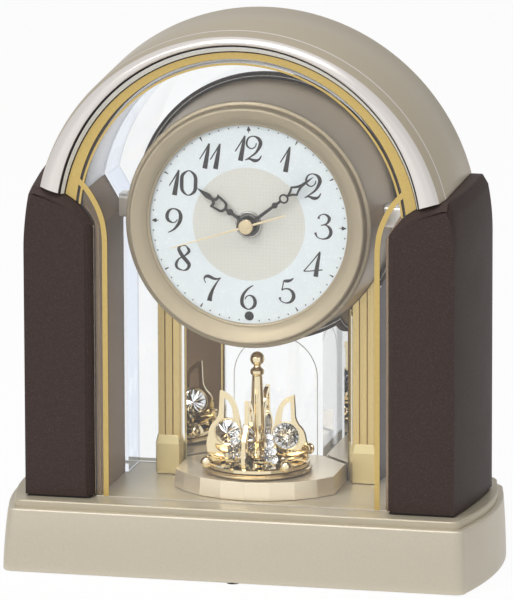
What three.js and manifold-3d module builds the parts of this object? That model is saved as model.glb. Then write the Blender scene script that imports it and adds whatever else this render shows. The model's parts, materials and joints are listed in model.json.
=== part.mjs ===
// Arched table clock with a rotating ornament: a glazed alcove between two pillars on a flared base.
// Millimetres, +Z up, the front faces -Y. The origin is on the table under the middle of the whole clock. The pieces
// are drawn in a group of their own, whose depths are counted from a plane near the middle of the arch.
import * as THREE from 'three';
import { mergeVertices } from 'three/addons/utils/BufferGeometryUtils.js';
import Module from 'manifold-3d';

const wasm = await Module();
wasm.setup();

// Clearances
const fit = 0.3; // gap between pieces that fit together
const through = 1; // how far a cutting tool passes the face it cuts

// Facets of the large rounds
const archSegments = 48;
const drumSegments = 32;
const smallSegments = 12;

// Base
const footHeight = 0.6;
const footRadius = 3.2;
const baseMargin = 9.4; // front corners outside the arch
const baseFront = -50;
const baseRear = 54;
const baseBow = 11.7; // control offset of the bowed sides
const baseCorner = 5; // front corner radius
const baseRearCorner = 21;
const baseHeight = 29; // from the feet to the ledge
const baseFrontFlare = 4; // how far the front wall leans in up to the ledge
const baseSideFlare = 1.4;
const baseFlareCurve = 1.6; // how late the lean comes, 1 is straight
const baseRim = 7; // width of the shell's bottom rim
const baseTopWall = 2.5;
const ledgeFront = 3;
const ledgeSide = 2.4;
const ledgeRear = 2;
const deckThickness = 3.7;
const deckBevel = 0.6;
const bottomCoverThickness = 1.5;
const bottomCoverRecess = 0.5;

// Pillars
const pillarInner = 69.7; // inner face from the middle plane
const pillarSetBack = 0.7; // front face behind the crown of the rim
const pillarRear = 26;
const pillarFlank = 1.2; // front outer edge outside the arch
const pillarBulge = 5.5; // rear outer edge further out than the front one
const pillarTaper = 2.4; // how far the front outer edge leans in at the top
const pillarRiseInner = 4.6; // arched top above the arch centre, at the inner face
const pillarRiseOuter = 23.6;
const pillarTopRadius = 33;
const pillarBevel = 3.6; // depth of the bevel round the front face
const pillarBevelDrop = 4; // height of that bevel at the top
const pillarInnerBevel = 3;
const pillarChamfer = 3.2; // chamfer along the top outer edge
const pillarChamferDrop = 5;
const pillarRearBevel = 1.2;
const pillarWall = 3;

// Arch
const archDrop = 5.2; // arch centre below the dial centre
const archRadius = 100.1;
const archWall = 3;
const archOverhang = 0.5; // behind the pillars
const rimFront = -36.2; // crown of the front rim
const rimStep = 2.7; // from the barrel in to the rim
const rimWidth = 4.4;
const rimRound = 0.9; // depth of the rim's rounded shoulders
const partingDepth = 2.6; // seam between the barrel and the front frame, behind the crown
const revealWidth = 6.6; // from the rim in to the smallest radius of the frame
const revealDepth = 3; // groove half way down the reveal, behind the crown
const revealLip = 1.2; // height of the lip at the glass
const glassDepth = 6.1; // behind the crown
const glassThickness = 1.5;
const archFlange = 2; // wall that backs the glass

// Alcove
const shoulderRiseLow = 4.1; // sloped shoulder above the arch centre
const shoulderRiseHigh = 19.1;
const liningLift = 0.4; // centre of the round lining above the dial centre
const liningRadius = 77.5;
const liningWall = 1.9;
const liningRear = 20;
const coverRear = 43.6; // back of the clear cover
const coverWall = 1.6;

// Drum and dial
const dialHeight = 161.6;
const dialFace = -12.1;
const dialThickness = 1;
const dialRadius = 52;
const drumFrontRadius = 56.5;
const drumRearRadius = 60.6;
const drumMiddleRadius = 58.6; // control radius of the flare
const drumRear = 28.3;
const drumWall = 2;
const drumLip = 0.4; // front edge of the drum behind the dial's face
const drumLedge = 50; // inner radius of the ledge behind the dial
const drumRimRadius = 63.7;
const drumRimDepth = 3.1;
const drumRimEdge = 0.6;
const drumCapEdge = 1;
const drumCapRise = 2; // how far the back slopes out from the rim to the cap
const drumCapRadius = 45;
const drumCapDepth = 13.5; // how far the cap stands out behind the rim
const bezelRadius = 58;
const bezelInner = 46.7;
const bezelRise = 6.5; // crown of the bezel in front of the dial
const bezelFlange = 2; // thickness of the outer flange
const bezelStep = 1.5; // from the flange in to the crown's foot
const bezelBand = 3.8; // height of the crown's foot above the back
const bezelRound = 3.2; // half width of the rounded crown
const bezelDrop = 0.8; // fall of the crown to its shoulders
const bezelSill = 1.9; // height of the inner step above the dial
const bezelSillWidth = 0.9;
const sensorRadius = 1.9;
const sensorInset = 3.5; // sensor's centre inside the bezel
const sensorProud = 0.1;
const nutThickness = 1;

// Hands
const hourAngle = 304.4; // clockwise from twelve
const minuteAngle = 52.2;
const secondAngle = 252;
const hourLength = 29;
const hourLoopHalf = 3;
const hourLoopStart = 12;
const hourLoopEnd = 21;
const minuteLength = 40;
const minuteLoopHalf = 2.6;
const minuteLoopStart = 22;
const minuteLoopEnd = 30;
const secondLength = 37.6;
const handThickness = 0.6;
const handSpacing = 1.8; // from one hand to the next along the arbor
const handClearance = 0.6; // hour hand in front of the nut
const handHub = 1.1; // width of the hub round its bore
const handStem = 0.75; // half width of the stem
const handBead = 1.5;
const handLine = 0.9; // width of the lines of the open loop
const spearHalf = 1.1;
const secondTail = 19.5;
const secondHalf = 0.55; // half width of the second hand at its tail
const capRadius = 3;
const capHeight = 1.6;

// Movement
const caseHalf = 31;
const caseWall = 1.4;
const caseDepth = 14.5;
const bossRadius = 5;
const bossLength = 2.6;
const nutRadius = 6.2;
const toothSize = 0.5; // pitch diameter per tooth
const wheelThickness = 1;
const wheelLevel = 1.8; // from one wheel to the next along the arbor
const toothDepth = 0.7;
const arborRadius = 0.8;
const magnetRadius = 4;
const statorMargin = 2;
const lidPostRadius = 2;
const lidPostInset = 4;
const lidPostHeight = 2;
const antennaRadius = 4;
const pipeWall = 0.9;
const boardThickness = 1.2;
const boardHalfWidth = 28;
const buttonRadius = 3;
const buttonTravel = 1;
const buttonSpread = 14;
const buttonDrop = 18;
const buttonCollar = 1; // how far the collar inside the cover stands out
const buttonCollarDepth = 1.5;
const buttonProud = 0.2; // what still stands out when the button is pressed

// Alcove furniture
const columnMiddle = 46.5;
const columnWidth = 11;
const columnFront = 21.5;
const columnDepth = 4;
const columnGroove = 0.8;
const flankThickness = 0.8; // folded side of the strip
const flankClearance = 0.6; // from the back of the clear cover
const blockHeight = 18.5;
const blockMargin = 1; // how far the block stands out round the strip
const mirrorGap = 1.4; // from the column's block
const mirrorFrontY = 24;
const mirrorRearX = 23.2;
const mirrorThickness = 2;
const mirrorTop = 115.5;
const pedestalHeight = 8.4;
const pedestalRadius = 45.4;
const pedestalCentreY = 21.5;
const pedestalFacet = 15; // degrees
const pedestalSpread = 57.5; // degrees from the middle to the sides
const pedestalDraft = 0.8;
const armDrop = 4.3; // below the dial centre
const armRise = 7;
const armFront = 10;
const armSetBack = 1; // in front of the rear edge of the lining

// Ornament
const ornamentY = 4;
const ornamentAngle = -3; // where the front wing points, towards +X from the front
const spindleRadius = 2;
const turntableRadius = 25.6;
const turntableThickness = 2.4;
const turntableEdge = 0.8;
const plateRadius = 24.5;
const plateThickness = 2.3;
const ballRadius = 3;
const ballOrbit = 27;
const ballLift = 1.5; // ball centre above the plate
const ballArm = 1.2; // radius of the arm that carries the ball
const postClearance = 4.9; // finial under the drum
const postFoot = 4.8;
const postNeck = 2.4;
const postCup = 3.9;
const postCupHeight = 8.5;
const postShaft = 3.7;
const postShaftStart = 15;
const postTop = 2.5;
const postBead = 3.3;
const finialRadius = 3.4;
const wingHeight = 31;
const wingGridSteps = 31; // steps of the wing's drawing grid from its foot to its tip
const wingThickness = 1.2;
const crystalRadius = 6.2;
const crystalDepth = 5.2;
const crystalOrbit = 14;
const crystalHeight = 11.4; // above the plate

// Base machinery
const motorRadius = 12;
const motorHeight = 19;
const motorStep = 2; // height of the bearing nose
const batteryRadius = 7.1;
const batteryLength = 49;
const batteryNub = 1;
const batteryDoorWidth = 62;
const batteryDoorHeight = 17;
const batteryDoorThickness = 3;
const switchX = 62;
const switchWidth = 4;
const switchHeight = 3;
const switchTravel = 3;
const switchProud = 1;

// Heights and places that follow
const archCentre = dialHeight - archDrop;
const liningCentre = dialHeight + liningLift;
const baseWidth = 2 * (archRadius + baseMargin);
const pillarOuterFront = archRadius + pillarFlank;
const pillarOuterRear = pillarOuterFront + pillarBulge;
const pillarTopInner = archCentre + pillarRiseInner;
const pillarTopOuter = archCentre + pillarRiseOuter;
const shoulderLow = archCentre + shoulderRiseLow;
const shoulderHigh = archCentre + shoulderRiseHigh;
const pillarFront = rimFront + pillarSetBack;
const archRear = pillarRear + archOverhang;
const archParting = rimFront + partingDepth;
const glassFront = rimFront + glassDepth;
const rimOuter = archRadius - rimStep;
const rimInner = rimOuter - rimWidth;
const revealInner = rimInner - revealWidth;
const alcoveHalf = pillarInner - fit - liningWall;
const shoulderHalf = Math.sqrt(liningRadius ** 2 - (shoulderHigh - liningCentre) ** 2);
const mirrorFrontX = columnMiddle - columnWidth / 2 - blockMargin - mirrorGap;
const baseTop = footHeight + baseHeight;
const deckTop = baseTop + deckThickness;
const standing = deckTop + fit; // bottom of what stands on the deck
const pedestalTop = standing + pedestalHeight;
const plateBottom = pedestalTop + fit + turntableThickness + fit;
const plateTop = plateBottom + plateThickness;
const sensorDrop = bezelInner - sensorInset; // below the dial centre
const postHeight = dialHeight - drumMiddleRadius - postClearance - plateTop - fit;
const glassRear = glassFront + glassThickness;
const coverInner = coverRear - coverWall;
const drumCapRear = drumRear + fit + drumRimDepth + drumCapDepth;

const finish = (color, roughness, metalness) => new THREE.MeshStandardMaterial({ color, roughness, metalness });
const champagne = finish(0xc8bea9, 0.35, 0.4);
const brown = finish(0x4b3e3a, 0.4, 0.3);
const bronze = finish(0x7d7066, 0.35, 0.5);
const gold = finish(0xd6bc7a, 0.15, 1);
const paleGold = finish(0xd8c68c, 0.3, 0.8);
const silver = finish(0xd0d2d6, 0.1, 1);
const clear = finish(0xe8f0f4, 0.05, 0);
const white = finish(0xebf1f4, 0.5, 0);
const black = finish(0x3a3434, 0.4, 0);
const steel = finish(0xa8a8a6, 0.35, 1);
const brass = finish(0xb59a58, 0.3, 1);
const greyPlastic = finish(0x8d8a86, 0.6, 0);
const rubber = finish(0x2c2a2a, 0.9, 0);
const green = finish(0x2f6b46, 0.6, 0);
const copper = finish(0xa8623a, 0.4, 0.8);

const clock = new THREE.Group();
clock.name = 'table_clock';
const assembly = new THREE.Group();
assembly.position.y = -(baseFront + baseRear + switchProud) / 2;
clock.add(assembly);

// Solids: a closed, welded geometry, and its way to and from a boolean solid.
function closed(geometry) {
  const bare = geometry.clone();
  bare.deleteAttribute('normal');
  bare.deleteAttribute('uv');
  const welded = mergeVertices(bare, 1e-4);
  const corners = welded.index.array;
  const kept = [];
  for (let i = 0; i < corners.length; i += 3) {
    const [a, b, c] = [corners[i], corners[i + 1], corners[i + 2]];
    if (a !== b && b !== c && c !== a) kept.push(a, b, c);
  }
  welded.setIndex(kept);
  return welded;
}

function solid(geometry) {
  const welded = closed(geometry);
  const vertProperties = new Float32Array(welded.attributes.position.array);
  const made = new wasm.Manifold(
    new wasm.Mesh({ numProp: 3, vertProperties, triVerts: new Uint32Array(welded.index.array) }),
  );
  return made;
}

function geometryOf(made) {
  const { vertProperties, triVerts } = made.getMesh();
  const geometry = new THREE.BufferGeometry();
  geometry.setAttribute('position', new THREE.BufferAttribute(vertProperties, 3));
  geometry.setIndex(new THREE.BufferAttribute(triVerts, 1));
  return geometry;
}

function place(name, shape, material) {
  const geometry = shape.isBufferGeometry ? closed(shape) : geometryOf(shape);
  geometry.computeVertexNormals();
  const mesh = new THREE.Mesh(geometry, material);
  mesh.name = name;
  assembly.add(mesh);
  return mesh;
}

// Upright prism of an XY outline.
function prism(shape, bottom, top, curveSegments = 12) {
  const geometry = new THREE.ExtrudeGeometry(shape, { depth: top - bottom, bevelEnabled: false, curveSegments });
  return geometry.translate(0, 0, bottom);
}

// Prism of an XZ outline that runs along Y.
function slab(shape, front, rear, curveSegments = 12) {
  const geometry = new THREE.ExtrudeGeometry(shape, { depth: rear - front, bevelEnabled: false, curveSegments });
  return geometry.rotateX(Math.PI / 2).translate(0, rear, 0);
}

function block(x0, x1, y0, y1, z0, z1) {
  const geometry = new THREE.BoxGeometry(x1 - x0, y1 - y0, z1 - z0);
  return geometry.translate((x0 + x1) / 2, (y0 + y1) / 2, (z0 + z1) / 2);
}

// Solid of revolution about a line along Y at height z. The profile holds [radius, y] pairs.
function turned(profile, z = 0, x = 0, segments = 32) {
  const points = profile.map(([r, y]) => new THREE.Vector2(r, y));
  return facingOut(new THREE.LatheGeometry(points, segments)).translate(x, 0, z);
}

// Solid of revolution about an upright line. The profile holds [radius, z] pairs.
function spun(profile, x = 0, y = 0, segments = 32) {
  const points = profile.map(([r, z]) => new THREE.Vector2(r, z));
  return facingOut(new THREE.LatheGeometry(points, segments)).rotateX(Math.PI / 2).translate(x, y, 0);
}

// Turns every face round where a geometry encloses a negative volume.
function facingOut(geometry) {
  const welded = closed(geometry);
  const at = welded.attributes.position;
  const corners = Array.from(welded.index.array);
  const [a, b, c] = [new THREE.Vector3(), new THREE.Vector3(), new THREE.Vector3()];
  let volume = 0;
  for (let i = 0; i < corners.length; i += 3) {
    a.fromBufferAttribute(at, corners[i]);
    b.fromBufferAttribute(at, corners[i + 1]);
    c.fromBufferAttribute(at, corners[i + 2]);
    volume += a.dot(b.cross(c));
  }
  if (volume < 0) corners.reverse();
  welded.setIndex(corners);
  return welded;
}

// Skin over rings of points, with flat ends. Each ring has the same number of points.
function loft(rings, flatten) {
  const count = rings[0].length;
  const geometry = new THREE.BufferGeometry().setFromPoints(rings.flat());
  const faces = [];
  for (let ring = 0; ring < rings.length - 1; ring += 1) {
    for (let k = 0; k < count; k += 1) {
      const a = ring * count + k;
      const b = ring * count + ((k + 1) % count);
      faces.push(a, b, b + count, a, b + count, a + count);
    }
  }
  const outline = rings[0].map(flatten);
  const turn = Math.sign(THREE.ShapeUtils.area(outline));
  for (const last of [false, true]) {
    const start = last ? (rings.length - 1) * count : 0;
    const flat = (last ? rings.at(-1) : rings[0]).map(flatten);
    for (const [i, j, k] of THREE.ShapeUtils.triangulateShape(flat, [])) {
      const same = Math.sign(THREE.ShapeUtils.area([flat[i], flat[j], flat[k]])) === turn;
      const [a, b, c] = same === last ? [i, j, k] : [k, j, i];
      faces.push(start + a, start + b, start + c);
    }
  }
  geometry.setIndex(faces);
  return facingOut(geometry);
}

const onPlan = (p) => new THREE.Vector2(p.x, p.y);
const onFront = (p) => new THREE.Vector2(p.x, p.z);
const mirrorX = (geometry) => facingOut(geometry.clone().scale(-1, 1, 1));

function disc(x, z, radius) {
  return new THREE.Shape().absarc(x, z, radius, 0, Math.PI * 2);
}

function rectangle(x0, x1, z0, z1) {
  return new THREE.Shape([
    new THREE.Vector2(x0, z0),
    new THREE.Vector2(x1, z0),
    new THREE.Vector2(x1, z1),
    new THREE.Vector2(x0, z1),
  ]);
}

// Base

// Plan of the base: straight front, bowed sides and round rear corners, drawn in by the three insets.
function basePlan(front, side, rear) {
  const half = baseWidth / 2 - side;
  const y0 = baseFront + front;
  const y1 = baseRear - rear;
  const middle = (y0 + y1) / 2;
  const shape = new THREE.Shape();
  shape.moveTo(-half + baseCorner, y0);
  shape.lineTo(half - baseCorner, y0);
  shape.quadraticCurveTo(half, y0, half, y0 + baseCorner);
  shape.quadraticCurveTo(half + baseBow, middle, half, y1 - baseRearCorner / 2);
  shape.quadraticCurveTo(half, y1, half - baseRearCorner, y1);
  shape.lineTo(-half + baseRearCorner, y1);
  shape.quadraticCurveTo(-half, y1, -half, y1 - baseRearCorner / 2);
  shape.quadraticCurveTo(-half - baseBow, middle, -half, y0 + baseCorner);
  shape.quadraticCurveTo(-half, y0, -half + baseCorner, y0);
  return shape;
}

function planRing(shape, z) {
  const points = shape.getPoints(7);
  if (points[0].equals(points.at(-1))) points.pop();
  return points.map((p) => new THREE.Vector3(p.x, p.y, z));
}

const spindleHole = (bottom, top) => solid(
  spun([[0, bottom], [spindleRadius + fit, bottom], [spindleRadius + fit, top], [0, top]], 0, ornamentY, smallSegments),
);

function makeBase() {
  const steps = [0, 0.25, 0.5, 0.75, 1];
  const rings = steps.map((t) => {
    const lean = t ** baseFlareCurve;
    return planRing(basePlan(baseFrontFlare * lean, baseSideFlare * lean, 0), footHeight + baseHeight * t);
  });
  const cavityTop = baseTop - baseTopWall;
  const cavity = prism(basePlan(baseRim, baseRim, baseRim), footHeight - through, cavityTop, 8);
  const doorBottom = footHeight + bottomCoverRecess + bottomCoverThickness + fit;
  const doorMiddle = doorBottom + batteryDoorHeight / 2;
  const doorHole = block(
    -batteryDoorWidth / 2 - fit,
    batteryDoorWidth / 2 + fit,
    baseRear - baseRim - through,
    baseRear + through,
    doorBottom,
    doorBottom + batteryDoorHeight + 2 * fit,
  );
  const switchHole = block(
    switchX - fit,
    switchX + switchWidth + switchTravel + fit,
    baseRear - baseRim - through,
    baseRear + through,
    doorMiddle - switchHeight / 2 - fit,
    doorMiddle + switchHeight / 2 + fit,
  );
  const shell = solid(loft(rings, onPlan))
    .subtract(solid(cavity))
    .subtract(solid(doorHole))
    .subtract(solid(switchHole))
    .subtract(spindleHole(cavityTop - through, baseTop + through));
  place('base_shell', shell, champagne);

  const deckPlan = (bevel) => basePlan(
    baseFrontFlare + ledgeFront + bevel,
    baseSideFlare + ledgeSide + bevel,
    ledgeRear + bevel,
  );
  const deck = loft([
    planRing(deckPlan(0), baseTop),
    planRing(deckPlan(0), deckTop - deckBevel),
    planRing(deckPlan(deckBevel), deckTop),
  ], onPlan);
  place('base_deck', solid(deck).subtract(spindleHole(baseTop - through, deckTop + through)), champagne);

  const coverBottom = footHeight + bottomCoverRecess;
  const coverTop = coverBottom + bottomCoverThickness;
  const inset = baseRim + fit;
  place('base_bottom_cover', prism(basePlan(inset, inset, inset), coverBottom, coverTop, 8), greyPlastic);

  const footMargin = baseRim / 2;
  const feet = {
    foot_front: [0, baseFront + footMargin],
    foot_rear_left: [-baseWidth / 2 + 2 * baseRearCorner, baseRear - footMargin],
    foot_rear_right: [baseWidth / 2 - 2 * baseRearCorner, baseRear - footMargin],
  };
  for (const [name, [x, y]] of Object.entries(feet)) {
    place(name, spun([[0, 0], [footRadius, 0], [footRadius, footHeight], [0, footHeight]], x, y, smallSegments), rubber);
  }

  const motorBottom = coverTop + fit;
  const motorTop = motorBottom + motorHeight;
  place('drive_motor', spun([
    [0, motorBottom],
    [motorRadius, motorBottom],
    [motorRadius, motorTop - motorStep],
    [motorRadius / 2, motorTop - motorStep],
    [motorRadius / 2, motorTop],
    [0, motorTop],
  ], 0, ornamentY, 2 * smallSegments), steel);

  const cellMiddle = coverTop + fit + batteryRadius;
  const rearCell = baseRear - baseRim - fit - batteryRadius;
  const cells = { battery_1: rearCell, battery_2: rearCell - 2 * batteryRadius - fit };
  for (const [name, y] of Object.entries(cells)) {
    const half = batteryLength / 2;
    const nub = batteryRadius / 3;
    const cell = spun([
      [0, -half],
      [batteryRadius, -half],
      [batteryRadius, half - batteryNub],
      [nub, half - batteryNub],
      [nub, half],
      [0, half],
    ], 0, 0, smallSegments);
    place(name, cell.rotateY(Math.PI / 2).translate(0, y, cellMiddle), steel);
  }

  place('battery_cover', block(
    -batteryDoorWidth / 2,
    batteryDoorWidth / 2,
    baseRear - batteryDoorThickness,
    baseRear,
    doorBottom + fit,
    doorBottom + fit + batteryDoorHeight,
  ), champagne);
  place('ornament_switch', block(
    switchX,
    switchX + switchWidth,
    baseRear - baseRim - fit,
    baseRear + switchProud,
    doorMiddle - switchHeight / 2,
    doorMiddle + switchHeight / 2,
  ), black);
  return motorTop;
}

// Pillars

// Centre of the circle that the pillar's arched top lies on.
function pillarTopCentre() {
  const a = new THREE.Vector2(pillarInner, pillarTopInner);
  const b = new THREE.Vector2(pillarOuterRear - pillarChamfer, pillarTopOuter);
  const half = b.clone().sub(a).multiplyScalar(0.5);
  const reach = Math.sqrt(pillarTopRadius ** 2 - half.lengthSq());
  const across = new THREE.Vector2(half.y, -half.x).normalize();
  return a.add(half).addScaledVector(across, reach);
}

// Front-view outline of the right pillar at depth y, grown by a margin and lowered at the top by drop.
function pillarRing(y, { grow = 0, drop = 0, inward = 0, outward = 0, bottom = deckTop }) {
  const span = THREE.MathUtils.clamp((pillarRear - y) / (pillarRear - pillarFront), 0, 1);
  const outer = pillarOuterRear - (pillarOuterRear - pillarOuterFront) * span ** 2 + grow + outward;
  const outerTop = outer - pillarTaper * span;
  const inner = pillarInner - grow + inward;
  const centre = pillarTopCentre();
  const radius = pillarTopRadius + grow;
  const turnAt = (x) => Math.asin(THREE.MathUtils.clamp((x - centre.x) / radius, -1, 1));
  const start = turnAt(outerTop - pillarChamfer);
  const end = turnAt(inner);
  const steps = 10;
  const arc = Array.from({ length: steps + 1 }, (_, k) => {
    const turn = start + ((end - start) * k) / steps;
    return [centre.x + radius * Math.sin(turn), centre.y + radius * Math.cos(turn) - drop];
  });
  const outline = [
    [inner, bottom],
    [outer, bottom],
    [outerTop, arc[0][1] - pillarChamferDrop],
    ...arc,
  ];
  return outline.map(([x, z]) => new THREE.Vector3(x, y, z));
}

const pillarDepths = [0.16, 0.36, 0.58, 0.8].map((t) => pillarFront + (pillarRear - pillarFront) * t);

function pillarSolid() {
  const rings = [
    pillarRing(pillarFront, { drop: pillarBevelDrop, inward: pillarInnerBevel }),
    pillarRing(pillarFront + pillarBevel, {}),
    ...pillarDepths.map((y) => pillarRing(y, {})),
    pillarRing(pillarRear - pillarRearBevel, {}),
    pillarRing(pillarRear, { drop: pillarRearBevel, inward: pillarRearBevel }),
  ];
  const hollow = { grow: -pillarWall, drop: pillarChamferDrop, bottom: deckTop - through };
  const hollowRings = [pillarFront + pillarBevel + pillarWall, ...pillarDepths, pillarRear - pillarWall]
    .map((y) => pillarRing(y, hollow));
  return solid(loft(rings, onFront)).subtract(solid(loft(hollowRings, onFront)));
}

// The pillars' room, with clearance, for cutting what stands on them or between them.
function pillarRoom() {
  const reach = 12;
  const room = { grow: fit, outward: reach, bottom: deckTop - reach };
  const front = { ...room, drop: pillarBevelDrop };
  const rings = [
    pillarRing(pillarFront - reach, front),
    pillarRing(pillarFront, front),
    pillarRing(pillarFront + pillarBevel, room),
    ...pillarDepths.map((y) => pillarRing(y, room)),
    pillarRing(pillarRear + reach, room),
  ];
  const right = loft(rings, onFront);
  return solid(right).add(solid(mirrorX(right)));
}

function makePillars() {
  const right = geometryOf(pillarSolid());
  place('pillar_right', right, brown);
  place('pillar_left', mirrorX(right), brown);
}

// Arch, glass and alcove

const aboveSpring = (made) => made.subtract(solid(
  block(-archRadius * 2, archRadius * 2, -archRadius, archRadius, -archRadius, archCentre - through),
));

function makeArch() {
  const room = pillarRoom();
  const barrelShape = disc(0, archCentre, archRadius);
  barrelShape.holes.push(disc(0, archCentre, archRadius - archWall));
  const flangeShape = disc(0, archCentre, archRadius - archWall / 2);
  flangeShape.holes.push(disc(0, liningCentre, liningRadius + liningWall + fit));
  const flangeFront = glassRear + fit;
  const barrel = solid(slab(barrelShape, archParting + fit / 2, archRear, archSegments))
    .add(solid(slab(flangeShape, flangeFront, flangeFront + archFlange, archSegments)));
  place('arch_shell', aboveSpring(barrel).subtract(room), champagne);

  const seat = archRadius - archWall - fit;
  const rimMiddle = (rimOuter + rimInner) / 2;
  const revealMiddle = (rimInner + revealInner) / 2;
  const back = glassFront - fit;
  const frame = turned([
    [revealInner, back],
    [seat, back],
    [seat, archParting - fit / 2],
    [archRadius, archParting - fit / 2],
    [rimOuter, rimFront + rimRound],
    [rimOuter - rimRound, rimFront + rimRound / 4],
    [rimMiddle, rimFront],
    [rimInner + rimRound, rimFront + rimRound / 4],
    [rimInner, rimFront + rimRound],
    [revealMiddle, rimFront + revealDepth],
    [revealInner, back - revealLip],
    [revealInner, back],
  ], archCentre, 0, archSegments);
  place('arch_front_frame', aboveSpring(solid(frame)).subtract(room), champagne);

  const paneRadius = seat - fit;
  const disk = solid(slab(disc(0, archCentre, paneRadius), glassFront, glassRear, archSegments));
  const lower = rectangle(-pillarInner + fit, pillarInner - fit, standing, archCentre);
  const pane = aboveSpring(disk).add(solid(slab(lower, glassFront, glassRear)));
  place('front_glass', pane.subtract(room), clear);
}

// Outline of the alcove: upright sides, slanted shoulders and an arch, drawn in by inset.
function alcoveShape(inset, bottom) {
  const half = alcoveHalf - inset;
  const radius = liningRadius - inset;
  const shoulder = shoulderHalf - inset;
  const rise = shoulderHigh - liningCentre;
  const start = Math.atan2(rise, Math.sqrt(radius ** 2 - rise ** 2));
  const shape = new THREE.Shape();
  shape.moveTo(-half, bottom);
  shape.lineTo(half, bottom);
  shape.lineTo(half, shoulderLow);
  shape.lineTo(shoulder, shoulderHigh);
  shape.absarc(0, liningCentre, radius, start, Math.PI - start);
  shape.lineTo(-shoulder, shoulderHigh);
  shape.lineTo(-half, shoulderLow);
  return shape;
}

function makeAlcove() {
  const liningFront = glassRear + fit + archFlange + fit;
  const wall = new THREE.Shape([
    new THREE.Vector2(alcoveHalf, standing),
    new THREE.Vector2(alcoveHalf + liningWall, standing),
    new THREE.Vector2(alcoveHalf + liningWall, shoulderLow - liningWall / 4),
    new THREE.Vector2(shoulderHalf + liningWall, shoulderHigh - fit),
    new THREE.Vector2(shoulderHalf, shoulderHigh - fit),
    new THREE.Vector2(alcoveHalf, shoulderLow),
  ]);
  const room = pillarRoom();
  const right = geometryOf(solid(slab(wall, liningFront, liningRear)).subtract(room));
  place('side_lining_right', right, bronze);
  place('side_lining_left', mirrorX(right), bronze);

  const ring = disc(0, liningCentre, liningRadius + liningWall);
  ring.holes.push(disc(0, liningCentre, liningRadius));
  const flange = disc(0, archCentre, archRadius - archWall - fit);
  flange.holes.push(disc(0, liningCentre, liningRadius + liningWall / 2));
  const below = block(-archRadius, archRadius, liningFront - archRadius, archRadius, -archRadius, shoulderHigh);
  const lining = solid(slab(ring, liningFront - archFlange, liningRear, archSegments))
    .add(solid(slab(flange, liningRear - archFlange, liningRear, archSegments)))
    .subtract(solid(below))
    .subtract(room);
  place('arch_lining', lining, silver);

  const facets = archSegments / 2;
  const outer = slab(alcoveShape(0, standing), liningRear + fit, coverRear, facets);
  const inner = slab(alcoveShape(coverWall, standing - through), liningRear - through, coverInner, facets);
  const hole = turned([
    [0, coverInner - through],
    [drumCapRadius + 2 * fit, coverInner - through],
    [drumCapRadius + 2 * fit, coverRear + through],
    [0, coverRear + through],
  ], dialHeight);
  place('rear_clear_cover', solid(outer).subtract(solid(inner)).subtract(solid(hole)), clear);
}

// Drum

// Outline of the drum from the front lip to the rear, as [radius, y], grown by a margin.
function drumOutline(grow) {
  const front = dialFace + fit + drumLip;
  const curve = new THREE.QuadraticBezierCurve(
    new THREE.Vector2(drumFrontRadius + grow, front),
    new THREE.Vector2(drumMiddleRadius + grow, (front + drumRear) / 2),
    new THREE.Vector2(drumRearRadius + grow, drumRear),
  );
  return curve.getPoints(4).map((p) => [p.x, p.y]);
}

// The drum's room, with clearance, for cutting what stands round it.
function drumRoom() {
  const rimRear = drumRear + fit + drumRimDepth;
  return solid(turned([
    [0, dialFace],
    [drumFrontRadius + fit, dialFace],
    ...drumOutline(fit),
    [drumRimRadius + fit, drumRear],
    [drumRimRadius + fit, rimRear + fit],
    [drumCapRadius + fit, rimRear + drumCapRise + fit],
    [drumCapRadius + fit, drumCapRear + fit],
    [0, drumCapRear + fit],
  ], dialHeight, 0, drumSegments));
}

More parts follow.
